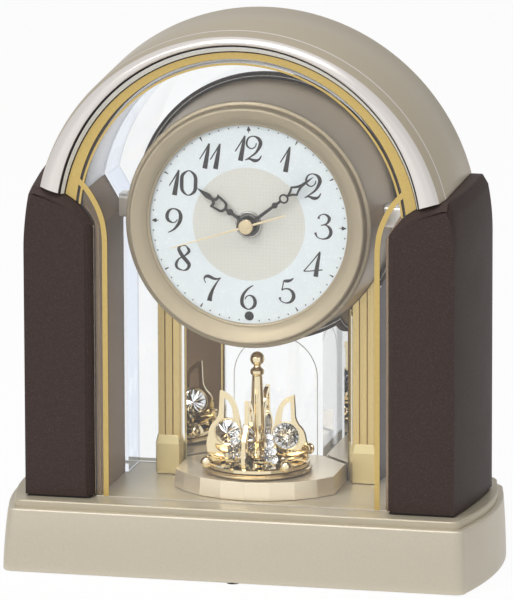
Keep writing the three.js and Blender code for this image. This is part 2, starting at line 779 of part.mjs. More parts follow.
function makeDrum() {
  const outline = drumOutline(0);
  const [frontRadius, front] = outline[0];
  const ledgeFace = dialFace + dialThickness + fit;
  const dialSeat = dialRadius + fit;
  const inside = drumOutline(-drumWall).slice(1).reverse();
  const body = turned([
    ...outline,
    ...inside,
    [frontRadius - drumWall, ledgeFace + drumWall],
    [drumLedge, ledgeFace + drumWall],
    [drumLedge, ledgeFace],
    [dialSeat, ledgeFace],
    [dialSeat, front],
    outline[0],
  ], dialHeight, 0, drumSegments);
  place('drum_body', body, champagne);

  const rimFrontY = drumRear + fit;
  const rimRear = rimFrontY + drumRimDepth;
  const cover = turned([
    [drumRimRadius, rimFrontY],
    [drumRimRadius, rimRear - drumRimEdge],
    [drumRimRadius - drumRimEdge, rimRear],
    [drumCapRadius, rimRear + drumCapRise],
    [drumCapRadius, drumCapRear - drumCapEdge],
    [drumCapRadius - drumCapEdge, drumCapRear],
    [0, drumCapRear],
    [0, drumCapRear - drumWall],
    [drumCapRadius - drumWall, drumCapRear - drumWall],
    [drumCapRadius - drumWall, rimRear],
    [drumRimRadius - drumWall, rimFrontY + drumWall / 2],
    [drumRimRadius - drumWall, rimFrontY],
    [drumRimRadius, rimFrontY],
  ], dialHeight, 0, drumSegments);
  const holeRadius = buttonRadius + fit;
  const holes = [-1, 1].map((side) => solid(turned([
    [0, drumCapRear - drumWall - through],
    [holeRadius, drumCapRear - drumWall - through],
    [holeRadius, drumCapRear + through],
    [0, drumCapRear + through],
  ], dialHeight - buttonDrop, side * buttonSpread, smallSegments)));
  place('drum_rear_cover', solid(cover).subtract(holes[0]).subtract(holes[1]), brown);

  const bezelBack = front - fit;
  const crown = dialFace - bezelRise;
  const lip = dialFace - fit;
  const crownRadius = (bezelRadius - bezelStep + bezelInner + bezelSillWidth) / 2;
  place('bezel_ring', turned([
    [bezelRadius, bezelBack],
    [bezelRadius, bezelBack - bezelFlange],
    [bezelRadius - bezelStep, bezelBack - bezelFlange],
    [bezelRadius - bezelStep, bezelBack - bezelBand],
    [crownRadius + bezelRound, crown + bezelDrop],
    [crownRadius, crown],
    [crownRadius - bezelRound, crown + bezelDrop],
    [bezelInner + bezelSillWidth, dialFace - bezelSill],
    [bezelInner, dialFace - bezelSill],
    [bezelInner, lip],
    [dialSeat, lip],
    [dialSeat, bezelBack],
    [bezelRadius, bezelBack],
  ], dialHeight, 0, drumSegments), champagne);

  const plate = disc(0, dialHeight, dialRadius);
  plate.holes.push(disc(0, dialHeight, bossRadius + fit));
  plate.holes.push(disc(0, dialHeight - sensorDrop, sensorRadius + fit));
  place('dial_plate', slab(plate, dialFace, dialFace + dialThickness, drumSegments / 2), white);
  place('light_sensor_window', turned([
    [0, dialFace - sensorProud],
    [sensorRadius, dialFace - sensorProud],
    [sensorRadius, dialFace + dialThickness],
    [0, dialFace + dialThickness],
  ], dialHeight - sensorDrop, 0, smallSegments), black);
  const nut = disc(0, dialHeight, nutRadius);
  nut.holes.push(disc(0, dialHeight, bossRadius + fit));
  place('dial_nut', slab(nut, dialFace - fit - nutThickness, dialFace - fit), steel);

  const stemEnd = boardRear + buttonTravel + fit;
  for (const [name, side] of [['set_button', -1], ['receive_button', 1]]) {
    const inner = drumCapRear - drumWall;
    place(name, turned([
      [0, drumCapRear + buttonTravel + buttonProud],
      [buttonRadius, drumCapRear + buttonTravel + buttonProud],
      [buttonRadius, inner - fit],
      [buttonRadius + buttonCollar, inner - fit],
      [buttonRadius + buttonCollar, inner - fit - buttonCollarDepth],
      [buttonRadius / 2, inner - fit - buttonCollarDepth],
      [buttonRadius / 2, stemEnd],
      [0, stemEnd],
    ], dialHeight - buttonDrop, side * buttonSpread, smallSegments), black);
  }
}

// Movement

const caseFront = dialFace + dialThickness + fit;
const caseRear = caseFront + caseDepth;
const lidRear = caseRear + fit + caseWall;
const boardFront = lidRear + lidPostHeight + fit;
const boardRear = boardFront + boardThickness;
const pitchRadius = (teeth) => (teeth * toothSize) / 2;
const hourTeeth = 48;
const motionPinionTeeth = 12;
const cannonTeeth = 15;
const motionTeeth = 45;
const secondTeeth = 60;
const stepPinionTeeth = 10;
const stepTeeth = 50;
const rotorPinionTeeth = 10;
const levels = Array.from({ length: 6 }, (_, k) => caseFront + caseWall + 2 * fit + k * wheelLevel);
const minutePipe = arborRadius + fit + pipeWall;
const hourPipe = minutePipe + fit + pipeWall;
const hourHandY = dialFace - fit - nutThickness - handClearance - handThickness;
const minuteHandY = hourHandY - handSpacing;
const secondHandY = minuteHandY - handSpacing;

// Toothed disc whose tips stand clear of the pitch circle.
function gear(teeth, x, z, front, rear) {
  const tip = pitchRadius(teeth) - fit / 2;
  const root = tip - toothDepth;
  const points = [];
  for (let k = 0; k < teeth; k += 1) {
    for (const [turn, radius] of [[0, tip], [0.5, root]]) {
      const angle = ((k + turn) / teeth) * Math.PI * 2;
      points.push(new THREE.Vector2(x + radius * Math.sin(angle), z + radius * Math.cos(angle)));
    }
  }
  return solid(slab(new THREE.Shape(points), front, rear));
}

const rod = (x, z, radius, front, rear) => solid(
  turned([[0, front], [radius, front], [radius, rear], [0, rear]], z, x, smallSegments),
);

function makeMovement() {
  const z = dialHeight;
  const outer = rectangle(-caseHalf, caseHalf, z - caseHalf, z + caseHalf);
  const innerHalf = caseHalf - caseWall;
  const inner = rectangle(-innerHalf, innerHalf, z - innerHalf, z + innerHalf);
  const boss = rod(0, z, bossRadius, caseFront - bossLength, caseFront + caseWall);
  const bore = rod(0, z, hourPipe + fit, caseFront - bossLength - through, caseFront + caseWall + through);
  const tray = solid(slab(outer, caseFront, caseRear))
    .subtract(solid(slab(inner, caseFront + caseWall, caseRear + through)))
    .add(boss)
    .subtract(bore);
  place('movement_front_case', tray, greyPlastic);

  const lidFront = caseRear + fit;
  let lid = solid(slab(outer, lidFront, lidRear));
  const postAt = boardHalfWidth - lidPostInset;
  for (const [sx, sz] of [[-1, -1], [1, -1], [1, 1], [-1, 1]]) {
    lid = lid.add(rod(sx * postAt, z + sz * postAt, lidPostRadius, lidFront, lidRear + lidPostHeight));
  }
  place('movement_rear_case', lid, greyPlastic);
  const board = rectangle(-boardHalfWidth, boardHalfWidth, z - boardHalfWidth, z + boardHalfWidth);
  place('circuit_board', slab(board, boardFront, boardRear), green);
  const antenna = rod(0, 0, antennaRadius, -boardHalfWidth * 0.6, boardHalfWidth * 0.6)
    .add(rod(0, 0, antennaRadius * 0.7, -boardHalfWidth * 0.9, boardHalfWidth * 0.9));
  place('antenna_rod', geometryOf(antenna).rotateZ(Math.PI / 2)
    .translate(0, boardRear + fit + antennaRadius, z + boardHalfWidth - 2 * antennaRadius), copper);

  // Hour wheel on its pipe, minute wheel with its cannon pinion, and the motion wheel that joins them.
  const [hourY, motionY, minuteY, secondY, stepY, rotorY] = levels;
  const hour = gear(hourTeeth, 0, z, hourY, hourY + wheelThickness)
    .add(rod(0, z, hourPipe, hourHandY, hourY + wheelThickness))
    .subtract(rod(0, z, hourPipe - pipeWall, hourHandY - through, hourY + wheelThickness + through));
  place('hour_wheel', hour, brass);
  const minute = gear(cannonTeeth, 0, z, motionY, motionY + wheelThickness)
    .add(gear(motionTeeth - 5, 0, z, minuteY, minuteY + wheelThickness))
    .add(rod(0, z, minutePipe, minuteHandY, minuteY + wheelThickness))
    .subtract(rod(0, z, minutePipe - pipeWall, minuteHandY - through, minuteY + wheelThickness + through));
  place('minute_wheel', minute, brass);
  const motionReach = pitchRadius(hourTeeth + motionPinionTeeth);
  const motionX = motionReach * Math.cos(Math.PI / 3);
  const motionZ = z + motionReach * Math.sin(Math.PI / 3);
  const motion = gear(motionPinionTeeth, motionX, motionZ, hourY, motionY + wheelThickness / 2)
    .add(gear(motionTeeth, motionX, motionZ, motionY, motionY + wheelThickness))
    .add(rod(motionX, motionZ, arborRadius, caseFront + caseWall + fit, motionY + wheelThickness + fit));
  place('motion_wheel', motion, brass);

  // Second wheel on the centre arbor, driven through the step wheel by the step rotor.
  const second = gear(secondTeeth, 0, z, secondY, secondY + wheelThickness)
    .add(rod(0, z, arborRadius, secondHandY + handThickness, caseRear));
  place('second_wheel', second, brass);
  const stepReach = pitchRadius(secondTeeth + stepPinionTeeth);
  const stepTurn = THREE.MathUtils.degToRad(200);
  const stepX = stepReach * Math.cos(stepTurn);
  const stepZ = z + stepReach * Math.sin(stepTurn);
  const step = gear(stepPinionTeeth, stepX, stepZ, secondY, stepY + wheelThickness / 2)
    .add(gear(stepTeeth, stepX, stepZ, stepY, stepY + wheelThickness))
    .add(rod(stepX, stepZ, arborRadius, secondY - fit, caseRear));
  place('step_wheel', step, brass);
  const rotorReach = pitchRadius(stepTeeth + rotorPinionTeeth);
  const rotorTurn = THREE.MathUtils.degToRad(280);
  const rotorX = stepX + rotorReach * Math.cos(rotorTurn);
  const rotorZ = stepZ + rotorReach * Math.sin(rotorTurn);
  const statorHalf = magnetRadius + statorMargin;
  const rotor = gear(rotorPinionTeeth, rotorX, rotorZ, stepY, rotorY + wheelThickness / 2)
    .add(rod(rotorX, rotorZ, magnetRadius, rotorY, rotorY + 2 * wheelThickness))
    .add(rod(rotorX, rotorZ, arborRadius, stepY - fit, caseRear));
  place('step_rotor', rotor, black);
  const coilRadius = caseRear - rotorY - wheelThickness - fit;
  const coilEnd = innerHalf - statorMargin;
  const coilStart = rotorX + statorHalf + statorMargin;
  const stator = rectangle(rotorX - statorHalf, coilEnd, rotorZ - statorHalf, rotorZ + statorHalf);
  stator.holes.push(disc(rotorX, rotorZ, magnetRadius + 2 * fit));
  const windingLength = coilEnd - coilStart - statorMargin;
  const winding = new THREE.CylinderGeometry(coilRadius, coilRadius, windingLength, 2 * smallSegments)
    .rotateZ(Math.PI / 2)
    .translate((coilStart + coilEnd) / 2, rotorY + wheelThickness, rotorZ);
  const coil = solid(slab(stator, rotorY + wheelThickness / 2, rotorY + wheelThickness * 1.5)).add(solid(winding));
  place('step_coil', coil, copper);
}

// Hands, drawn pointing up from the dial centre and then turned clockwise

function openRing(z, radius, hole) {
  const ring = disc(0, z, radius);
  ring.holes.push(disc(0, z, hole));
  return ring;
}

const flatHand = (shape) => solid(slab(shape, 0, handThickness, 6));

function turnedHand(made, angle, y) {
  const turn = THREE.MathUtils.degToRad(angle);
  return geometryOf(made).rotateY(turn).translate(0, y, dialHeight);
}

// Leaf outline of a hand's open loop, as wide as width on each side half way up.
function leafOutline(leaf, width, start, end) {
  const middle = (start + end) / 2;
  leaf.moveTo(0, start);
  leaf.quadraticCurveTo(width, middle - handLine, width, middle);
  leaf.quadraticCurveTo(width, middle + handLine, 0, end);
  leaf.quadraticCurveTo(-width, middle + handLine, -width, middle);
  leaf.quadraticCurveTo(-width, middle - handLine, 0, start);
  return leaf;
}

// Openwork hand: a hub, a stem with a bead, an open loop and a spear tip. The hub has a bore.
function openworkHand(length, bore, loopWidth, loopStart, loopEnd, ringed) {
  const hub = bore + handHub;
  const loop = leafOutline(new THREE.Shape(), loopWidth, loopStart, loopEnd);
  const open = leafOutline(new THREE.Path(), loopWidth - handLine, loopStart + 2 * handLine, loopEnd - 2 * handLine);
  loop.holes.push(open);
  const spear = new THREE.Shape([
    new THREE.Vector2(-handStem, loopEnd - handLine),
    new THREE.Vector2(handStem, loopEnd - handLine),
    new THREE.Vector2(spearHalf, loopEnd + 2 * spearHalf),
    new THREE.Vector2(0, length),
    new THREE.Vector2(-spearHalf, loopEnd + 2 * spearHalf),
  ]);
  let hand = flatHand(openRing(0, hub, bore))
    .add(flatHand(rectangle(-handStem, handStem, hub - handLine / 2, loopStart + handLine)))
    .add(flatHand(disc(0, hub + 2 * handBead, handBead)))
    .add(flatHand(loop))
    .add(flatHand(spear));
  if (ringed) {
    const ringZ = loopStart - 2 * handLine;
    const ringHole = handBead - handLine / 4;
    hand = hand.add(flatHand(openRing(ringZ, ringHole + handLine, ringHole)))
      .subtract(flatHand(disc(0, ringZ, ringHole)));
  }
  return hand;
}

function makeHands() {
  const hour = openworkHand(hourLength, hourPipe + fit, hourLoopHalf, hourLoopStart, hourLoopEnd, false);
  place('hour_hand', turnedHand(hour, hourAngle, hourHandY), black);
  const minute = openworkHand(minuteLength, minutePipe + fit, minuteLoopHalf, minuteLoopStart, minuteLoopEnd, true);
  place('minute_hand', turnedHand(minute, minuteAngle, minuteHandY), black);
  const blade = new THREE.Shape([
    new THREE.Vector2(-secondHalf, -secondTail),
    new THREE.Vector2(secondHalf, -secondTail),
    new THREE.Vector2(secondHalf / 2, secondLength),
    new THREE.Vector2(-secondHalf / 2, secondLength),
  ]);
  const cap = solid(turned([
    [0, -capHeight],
    [capRadius / 2, -capHeight],
    [capRadius, -capHeight / 2],
    [capRadius, handThickness - fit],
    [0, handThickness - fit],
  ], 0, 0, 2 * smallSegments));
  place('second_hand', turnedHand(flatHand(blade).add(cap), secondAngle, secondHandY), paleGold);
}

// Arms, columns, mirrors and pedestal

function makeFurniture() {
  const room = drumRoom();
  const armShape = block(
    drumFrontRadius,
    alcoveHalf - fit,
    armFront,
    liningRear - armSetBack,
    dialHeight - armDrop,
    dialHeight + armRise,
  );
  const arm = solid(armShape).subtract(room);
  place('drum_arm_right', arm, champagne);
  place('drum_arm_left', mirrorX(geometryOf(arm)), champagne);

  const columnTop = dialHeight - drumRearRadius / 2;
  const x0 = columnMiddle - columnWidth / 2;
  const x1 = columnMiddle + columnWidth / 2;
  const rear = columnFront + columnDepth;
  const strip = new THREE.Shape();
  strip.moveTo(x0, rear);
  strip.lineTo(x0, columnFront);
  for (const x of [columnMiddle - columnWidth / 6, columnMiddle + columnWidth / 6]) {
    strip.lineTo(x - columnGroove / 2, columnFront);
    strip.lineTo(x, columnFront + columnGroove);
    strip.lineTo(x + columnGroove / 2, columnFront);
  }
  strip.lineTo(x1, columnFront);
  strip.lineTo(x1, rear);
  const blockRing = (z, inset) => [
    [x0 - blockMargin + inset, columnFront - blockMargin + inset],
    [x1 + blockMargin - inset, columnFront - blockMargin + inset],
    [x1 + blockMargin - inset, rear + blockMargin - inset],
    [x0 - blockMargin + inset, rear + blockMargin - inset],
  ].map(([x, y]) => new THREE.Vector3(x, y, z));
  const footing = loft([
    blockRing(standing, 0),
    blockRing(standing + blockHeight - 2 * blockMargin, 0),
    blockRing(standing + blockHeight, blockMargin / 2),
  ], onPlan);
  const flank = block(x1 - flankThickness, x1, rear - through, coverInner - flankClearance, standing, columnTop);
  const column = solid(prism(strip, standing, columnTop))
    .add(solid(footing))
    .add(solid(flank))
    .subtract(room);
  place('column_right', column, paleGold);
  place('column_left', mirrorX(geometryOf(column)), paleGold);

  // Each mirror is turned so that the ornament shows in it from the front.
  const front = new THREE.Vector2(mirrorFrontX, mirrorFrontY);
  const back = new THREE.Vector2(mirrorRearX, coverInner - 2 * fit - mirrorThickness);
  const along = back.clone().sub(front).normalize();
  const away = new THREE.Vector2(along.y, -along.x).multiplyScalar(mirrorThickness);
  const plan = new THREE.Shape([front, front.clone().add(away), back.clone().add(away), back]);
  const mirror = solid(prism(plan, standing, mirrorTop)).subtract(room);
  place('mirror_right', mirror, silver);
  place('mirror_left', mirrorX(geometryOf(mirror)), silver);

  // Pedestal: facets on an arc in front, and sides that run back along the mirrors.
  const ring = (z, inset) => {
    const radius = pedestalRadius - inset;
    const facets = [];
    for (let k = -4; k <= 4; k += 1) {
      const turn = THREE.MathUtils.degToRad(THREE.MathUtils.clamp(k * pedestalFacet, -pedestalSpread, pedestalSpread));
      facets.push([radius * Math.sin(turn), pedestalCentreY - radius * Math.cos(turn)]);
    }
    const side = facets.at(-1)[0];
    const gap = 2 * fit + inset;
    const slope = (mirrorFrontX - back.x) / (back.y - mirrorFrontY);
    const meet = mirrorFrontY + (mirrorFrontX - side) / slope - gap * Math.sqrt(1 + 1 / slope ** 2);
    const rearY = back.y - mirrorThickness / 2 - inset;
    const rearX = side - (rearY - meet) * slope;
    const sides = [[side, meet], [rearX, rearY], [-rearX, rearY], [-side, meet]];
    return [...facets, ...sides].map(([x, y]) => new THREE.Vector3(x, y, z));
  };
  const pedestal = loft([ring(standing, 0), ring(pedestalTop, pedestalDraft)], onPlan);
  const hole = spindleHole(standing - through, pedestalTop + through);
  place('pedestal', solid(pedestal).subtract(hole), champagne);
}

// Ornament

// Wing outline as seen from the side, in grid steps: r from the post, z above the plate.
function wingShape() {
  const step = wingHeight / wingGridSteps;
  const wing = new THREE.Shape();
  wing.moveTo(9 * step, 0);
  wing.lineTo(23.4 * step, 0);
  wing.quadraticCurveTo(25.4 * step, 5 * step, 23.6 * step, 9.6 * step);
  wing.quadraticCurveTo(23.2 * step, 14.5 * step, 20.2 * step, 16.6 * step);
  wing.quadraticCurveTo(18.6 * step, 19 * step, 18.4 * step, 21 * step);
  wing.lineTo(17.9 * step, 31 * step);
  wing.quadraticCurveTo(16.4 * step, 31.2 * step, 14.4 * step, 28.4 * step);
  wing.quadraticCurveTo(9 * step, 22.5 * step, 7.6 * step, 15 * step);
  wing.quadraticCurveTo(6 * step, 11 * step, 6.2 * step, 7 * step);
  wing.quadraticCurveTo(6.6 * step, 2 * step, 9 * step, 0);
  const upper = new THREE.Path();
  upper.moveTo(16.2 * step, 27 * step);
  upper.quadraticCurveTo(12.4 * step, 23.6 * step, 11.2 * step, 19.6 * step);
  upper.lineTo(16.6 * step, 19.6 * step);
  upper.lineTo(16.2 * step, 27 * step);
  wing.holes.push(upper);
  const seat = new THREE.Path().absarc(crystalOrbit, crystalHeight, crystalRadius + fit, 0, Math.PI * 2);
  wing.holes.push(seat);
  return wing;
}

// Puts a piece drawn in the front wing's own frame, r along +X and z above the plate, at one of the four wings.
function aroundPost(geometry, turn) {
  const angle = THREE.MathUtils.degToRad(turn + ornamentAngle - 90);
  return geometry.clone().rotateZ(angle).translate(0, ornamentY, plateTop + fit);
}

function makeOrnament(motorTop) {
  const tableBottom = pedestalTop + fit;
  const tableTop = tableBottom + turntableThickness;
  place('turntable', spun([
    [0, motorTop + fit],
    [spindleRadius, motorTop + fit],
    [spindleRadius, tableBottom],
    [turntableRadius - turntableEdge, tableBottom],
    [turntableRadius, tableBottom + turntableEdge],
    [turntableRadius, tableTop - turntableEdge],
    [turntableRadius - turntableEdge, tableTop],
    [0, tableTop],
  ], 0, ornamentY), champagne);

  let plate = solid(spun([
    [0, plateBottom],
    [plateRadius, plateBottom],
    [plateRadius, plateTop],
    [0, plateTop],
  ], 0, ornamentY, 2 * smallSegments));
  for (const turn of [45, 135, 225, 315]) {
    const angle = THREE.MathUtils.degToRad(turn + ornamentAngle - 90);
    const x = ballOrbit * Math.cos(angle);
    const y = ornamentY + ballOrbit * Math.sin(angle);
    const ball = new THREE.SphereGeometry(ballRadius, 8, 6).rotateX(Math.PI / 2);
    const armLength = 2 * (ballOrbit - plateRadius) + ballRadius;
    const arm = new THREE.CylinderGeometry(ballArm, ballArm, armLength, 8)
      .rotateZ(Math.PI / 2)
      .translate(ballOrbit - armLength / 2, 0, 0)
      .rotateZ(angle)
      .translate(0, ornamentY, plateTop + ballArm / 2);
    plate = plate.add(solid(arm)).add(solid(ball.translate(x, y, plateTop + ballLift)));
  }
  place('ornament_plate', plate, gold);

  const foot = plateTop + fit;
  const top = foot + postHeight;
  const ballCentre = top - finialRadius;
  const neck = top - 2 * finialRadius;
  const finialSteps = 6;
  const finial = Array.from({ length: finialSteps }, (_, k) => {
    const turn = Math.PI * ((k + 1) / (finialSteps + 1) - 0.5);
    return [finialRadius * Math.cos(turn), ballCentre + finialRadius * Math.sin(turn)];
  });
  place('ornament_post', spun([
    [0, foot],
    [postFoot, foot],
    [postFoot, foot + postNeck / 3],
    [postNeck, foot + postNeck],
    [postNeck, foot + postCupHeight - postCup + postNeck / 2],
    [postCup, foot + postCupHeight],
    [postCup, foot + postCupHeight + postNeck],
    [postBead, foot + postCupHeight + postCup],
    [postShaft, foot + postShaftStart],
    [postTop, neck - 2 * postBead + postNeck],
    [postBead, neck - postBead],
    [postBead, neck - postBead / 2],
    [finial[0][0], neck],
    ...finial,
    [0, top],
  ], 0, ornamentY, smallSegments), gold);

  const wing = slab(wingShape(), -wingThickness / 2, wingThickness / 2, 6);
  const half = crystalDepth / 2;
  const crystal = turned([
    [0, -half],
    [crystalRadius * 0.58, -half],
    [crystalRadius, -half * 0.2],
    [crystalRadius, half * 0.15],
    [0, half * 1.5],
  ], crystalHeight, crystalOrbit, 12);
  for (const [name, turn] of [['front', 0], ['right', 90], ['rear', 180], ['left', 270]]) {
    place(`wing_${name}`, aroundPost(wing, turn), gold);
    place(`crystal_${name}`, aroundPost(crystal, turn), clear);
  }
}

const motorTop = makeBase();
makePillars();
makeArch();
makeAlcove();
makeDrum();
makeMovement();
makeHands();
makeFurniture();
makeOrnament(motorTop);

export default clock;
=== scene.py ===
"""Arched table clock with a rotating ornament, dressed over its packed frame.

Drawing sizes are millimetres: x to the right, y to the rear from a plane near the middle of the arch, z up.
"""
import json
import math
import random
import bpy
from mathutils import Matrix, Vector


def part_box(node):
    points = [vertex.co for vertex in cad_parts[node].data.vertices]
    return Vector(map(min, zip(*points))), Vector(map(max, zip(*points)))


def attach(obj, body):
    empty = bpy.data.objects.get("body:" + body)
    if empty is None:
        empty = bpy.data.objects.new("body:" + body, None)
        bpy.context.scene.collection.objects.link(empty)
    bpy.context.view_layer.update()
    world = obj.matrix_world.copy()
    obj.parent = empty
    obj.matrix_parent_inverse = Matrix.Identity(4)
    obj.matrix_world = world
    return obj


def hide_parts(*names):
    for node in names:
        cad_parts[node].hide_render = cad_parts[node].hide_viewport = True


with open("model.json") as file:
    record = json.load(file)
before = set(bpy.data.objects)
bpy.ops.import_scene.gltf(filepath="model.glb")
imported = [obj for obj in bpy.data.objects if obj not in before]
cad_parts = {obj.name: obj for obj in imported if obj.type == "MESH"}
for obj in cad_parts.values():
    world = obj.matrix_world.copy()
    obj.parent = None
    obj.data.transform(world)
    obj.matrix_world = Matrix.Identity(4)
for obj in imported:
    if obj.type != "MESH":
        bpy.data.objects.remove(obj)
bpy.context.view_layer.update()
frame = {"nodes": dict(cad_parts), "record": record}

from types import SimpleNamespace

import bmesh
import bpy
from mathutils import Matrix, Vector

bl_info = {
    "name": "Arched table clock",
    "version": (1, 0, 0),
    "blender": (4, 5, 0),
    "location": "View3D > Sidebar > Clock",
    "description": "Builds the fine pieces and finishes of an arched table clock round its frame",
    "category": "Object",
}

MM = 0.001
FIT = 0.3
BASE_FRONT = -50.0
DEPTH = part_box("base_shell")[0].y / MM - BASE_FRONT
PHOTO_LONG_SIDE = 600


# Property helpers

def length(label, text, value):
    return bpy.props.FloatProperty(name=label, description=text, default=value * MM, subtype="DISTANCE", unit="LENGTH")


def angle(label, text, degrees):
    return bpy.props.FloatProperty(name=label, description=text, default=math.radians(degrees), subtype="ANGLE")


def colour(label, text, red, green, blue):
    """A colour property from display values of 0 to 255."""
    value = [linear(part / 255) for part in (red, green, blue)]
    return bpy.props.FloatVectorProperty(
        name=label, description=text, default=value, subtype="COLOR", size=3, min=0, max=1)


def linear(part):
    return part / 12.92 if part <= 0.04045 else ((part + 0.055) / 1.055) ** 2.4


def high(node):
    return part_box(node)[1] / MM


def low(node):
    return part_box(node)[0] / MM


def in_mm(group):
    """The lengths of a property group in millimetres, for drawing."""
    return SimpleNamespace(**{name: getattr(group, name) / MM for name in group.__annotations__})


class ClockCaseSizes(bpy.types.PropertyGroup):
    """Sizes of the base, the pillars and the arch."""

    base_half: length("Base half width", "From the middle to the front corner", 109.5)
    base_rear: length("Base rear", "Rear face of the base", 54.0)
    base_bow: length("Base bow", "Control offset of the bowed sides", 11.7)
    base_corner: length("Base corner", "Front corner", 5.0)
    base_rear_corner: length("Rear corner", "Rear corner of the base", 21.0)
    front_flare: length("Front flare", "How far the front leans in up to the ledge", 4.0)
    side_flare: length("Side flare", "How far the sides lean in up to the ledge", 1.4)
    base_rim: length("Bottom rim", "Width of the shell's bottom rim", 7.0)
    ledge_front: length("Front ledge", "Ledge in front of the deck", 3.0)
    ledge_side: length("Side ledge", "Ledge beside the deck", 2.4)
    ledge_rear: length("Rear ledge", "Ledge behind the deck", 2.0)
    deck_round: length("Deck edge", "Round of the deck's top edge", 0.9)
    pillar_inner: length("Pillar inner face", "From the middle plane", 69.7)
    pillar_front: length("Pillar front", "Front face of the pillars", -35.5)
    pillar_rear: length("Pillar rear", "Rear face of the pillars", 26.0)
    pillar_outer_front: length("Pillar outer front", "Outer edge in front", 101.3)
    pillar_outer_rear: length("Pillar outer rear", "Outer edge at the rear", 106.8)
    pillar_waist: length("Pillar waist", "How far the outer edge curves in below the chamfer", 2.2)
    pillar_round_x: length("Pillar round x", "Centre of the round inner shoulder", 97.6)
    pillar_round_z: length("Pillar round z", "Height of that centre", 147.6)
    pillar_round: length("Pillar round", "Radius of the round inner shoulder", 31.6)
    pillar_rise: length("Pillar rise", "How much higher the top is at the rear", 3.2)
    pillar_bevel: length("Pillar bevel", "Width of the bevel round the front face", 2.9)
    pillar_chamfer: length("Pillar chamfer", "Chamfer of the top outer edge", 2.7)
    pillar_chamfer_drop: length("Chamfer drop", "Height of that chamfer", 4.4)
    pillar_gap: length("Pillar shadow gap", "Gap under the pillar's outer wall", 1.1)
    arch_centre: length("Arch centre", "Height of the arch's centre", 156.4)
    arch_radius: length("Arch radius", "Outside of the barrel at the rear", 100.1)
    arch_front_radius: length("Arch front radius", "Outside of the barrel at the parting line", 98.1)
    parting: length("Parting line", "Where the front frame meets the barrel", -26.0)
    rim_radius: length("Rim radius", "Outer edge of the pearl rim", 96.5)
    rim_edge: length("Rim outer edge", "Depth of that edge", -33.1)
    opening_radius: length("Opening radius", "Inner edge of the pearl rim", 85.95)
    opening_lift: length("Opening lift", "Centre of that edge above the arch centre", 6.95)
    lip_radius: length("Lip radius", "Inner edge of the silver lip", 83.8)
    lip_lift: length("Lip lift", "Centre of the lip above the arch centre", 5.3)
    arch_wall: length("Arch wall", "Thickness of the barrel", 3.0)
    arch_rear: length("Arch rear", "Rear edge of the barrel", 26.5)
    rim_front: length("Rim crown", "Crown of the front rim", -36.2)
    glass_front: length("Glass front", "Front face of the pane", -30.1)


class ClockDrumSizes(bpy.types.PropertyGroup):
    """Sizes of the alcove, the drum, the dial and the hands."""

    alcove_half: length("Alcove half width", "Inner face of the side lining", 67.5)
    shoulder_low: length("Shoulder foot", "Foot of the slanted shoulder", 160.5)
    shoulder_high: length("Shoulder head", "Head of the slanted shoulder", 175.5)
    lining_centre: length("Lining centre", "Height of the round lining's centre", 162.0)
    lining_radius: length("Lining radius", "Inside of the round lining", 77.5)
    lining_wall: length("Lining wall", "Thickness of the lining", 1.9)
    lining_rear: length("Lining rear", "Rear edge of the lining", 20.0)
    cover_rear: length("Cover rear", "Back of the clear cover", 43.6)
    cover_wall: length("Cover wall", "Thickness of the clear cover", 1.6)
    dial_height: length("Dial height", "Height of the dial centre", 161.6)
    dial_face: length("Dial face", "Front face of the dial", -12.1)
    dial_radius: length("Dial radius", "Radius of the dial plate", 52.0)
    drum_front: length("Drum front radius", "Radius behind the bezel", 56.5)
    drum_middle: length("Drum flare", "Control radius of the flare", 58.6)
    drum_rear_radius: length("Drum rear radius", "Radius at the rear rim", 60.6)
    drum_rear: length("Drum rear", "Rear edge of the drum", 28.3)
    rim_radius: length("Rear rim radius", "Rim of the rear cover", 63.7)
    cap_radius: length("Rear cap radius", "Cap of the rear cover", 45.0)
    bezel_radius: length("Bezel radius", "Outer flange of the bezel", 58.0)
    bezel_inner: length("Bezel inner radius", "Opening of the bezel", 46.7)
    ivory_radius: length("Ivory disc", "Radius of the textured middle of the dial", 26.5)
    numeral_height: length("Numeral height", "Height of the hour numerals", 12.0)
    numeral_radius: length("Numeral circle", "Radius of the circle of numerals", 35.5)
    minute_radius: length("Minute circle", "Radius of the minute dots", 45.4)
    print_thickness: length("Print thickness", "Thickness of printed ink", 0.06)
    hand_thickness: length("Hand thickness", "Thickness of the hands", 0.6)


class ClockOrnamentSizes(bpy.types.PropertyGroup):
    """Sizes of the furniture of the alcove and of the ornament."""

    column_middle: length("Column middle", "From the middle plane", 46.5)
    column_width: length("Column width", "Width of the fluted strip", 11.0)
    column_front: length("Column front", "Front face of the strip", 21.5)
    column_depth: length("Column depth", "Depth of the strip", 4.0)
    block_height: length("Block height", "Height of the column's block", 18.5)
    axis_y: length("Ornament axis", "Depth of the ornament's axis", 4.0)
    turntable_radius: length("Turntable radius", "Radius of the turntable", 25.6)
    plate_radius: length("Plate radius", "Radius of the gold plate", 24.5)
    ball_radius: length("Ball radius", "Radius of the gold balls", 2.9)
    ball_orbit: length("Ball orbit", "From the axis to the balls", 27.0)
    wing_thickness: length("Wing thickness", "Thickness of the wings", 1.9)
    crystal_radius: length("Crystal radius", "Radius of the large crystals", 6.2)
    crystal_orbit: length("Crystal orbit", "From the axis to the large crystals", 14.0)
    crystal_height: length("Crystal height", "Above the gold plate", 11.4)


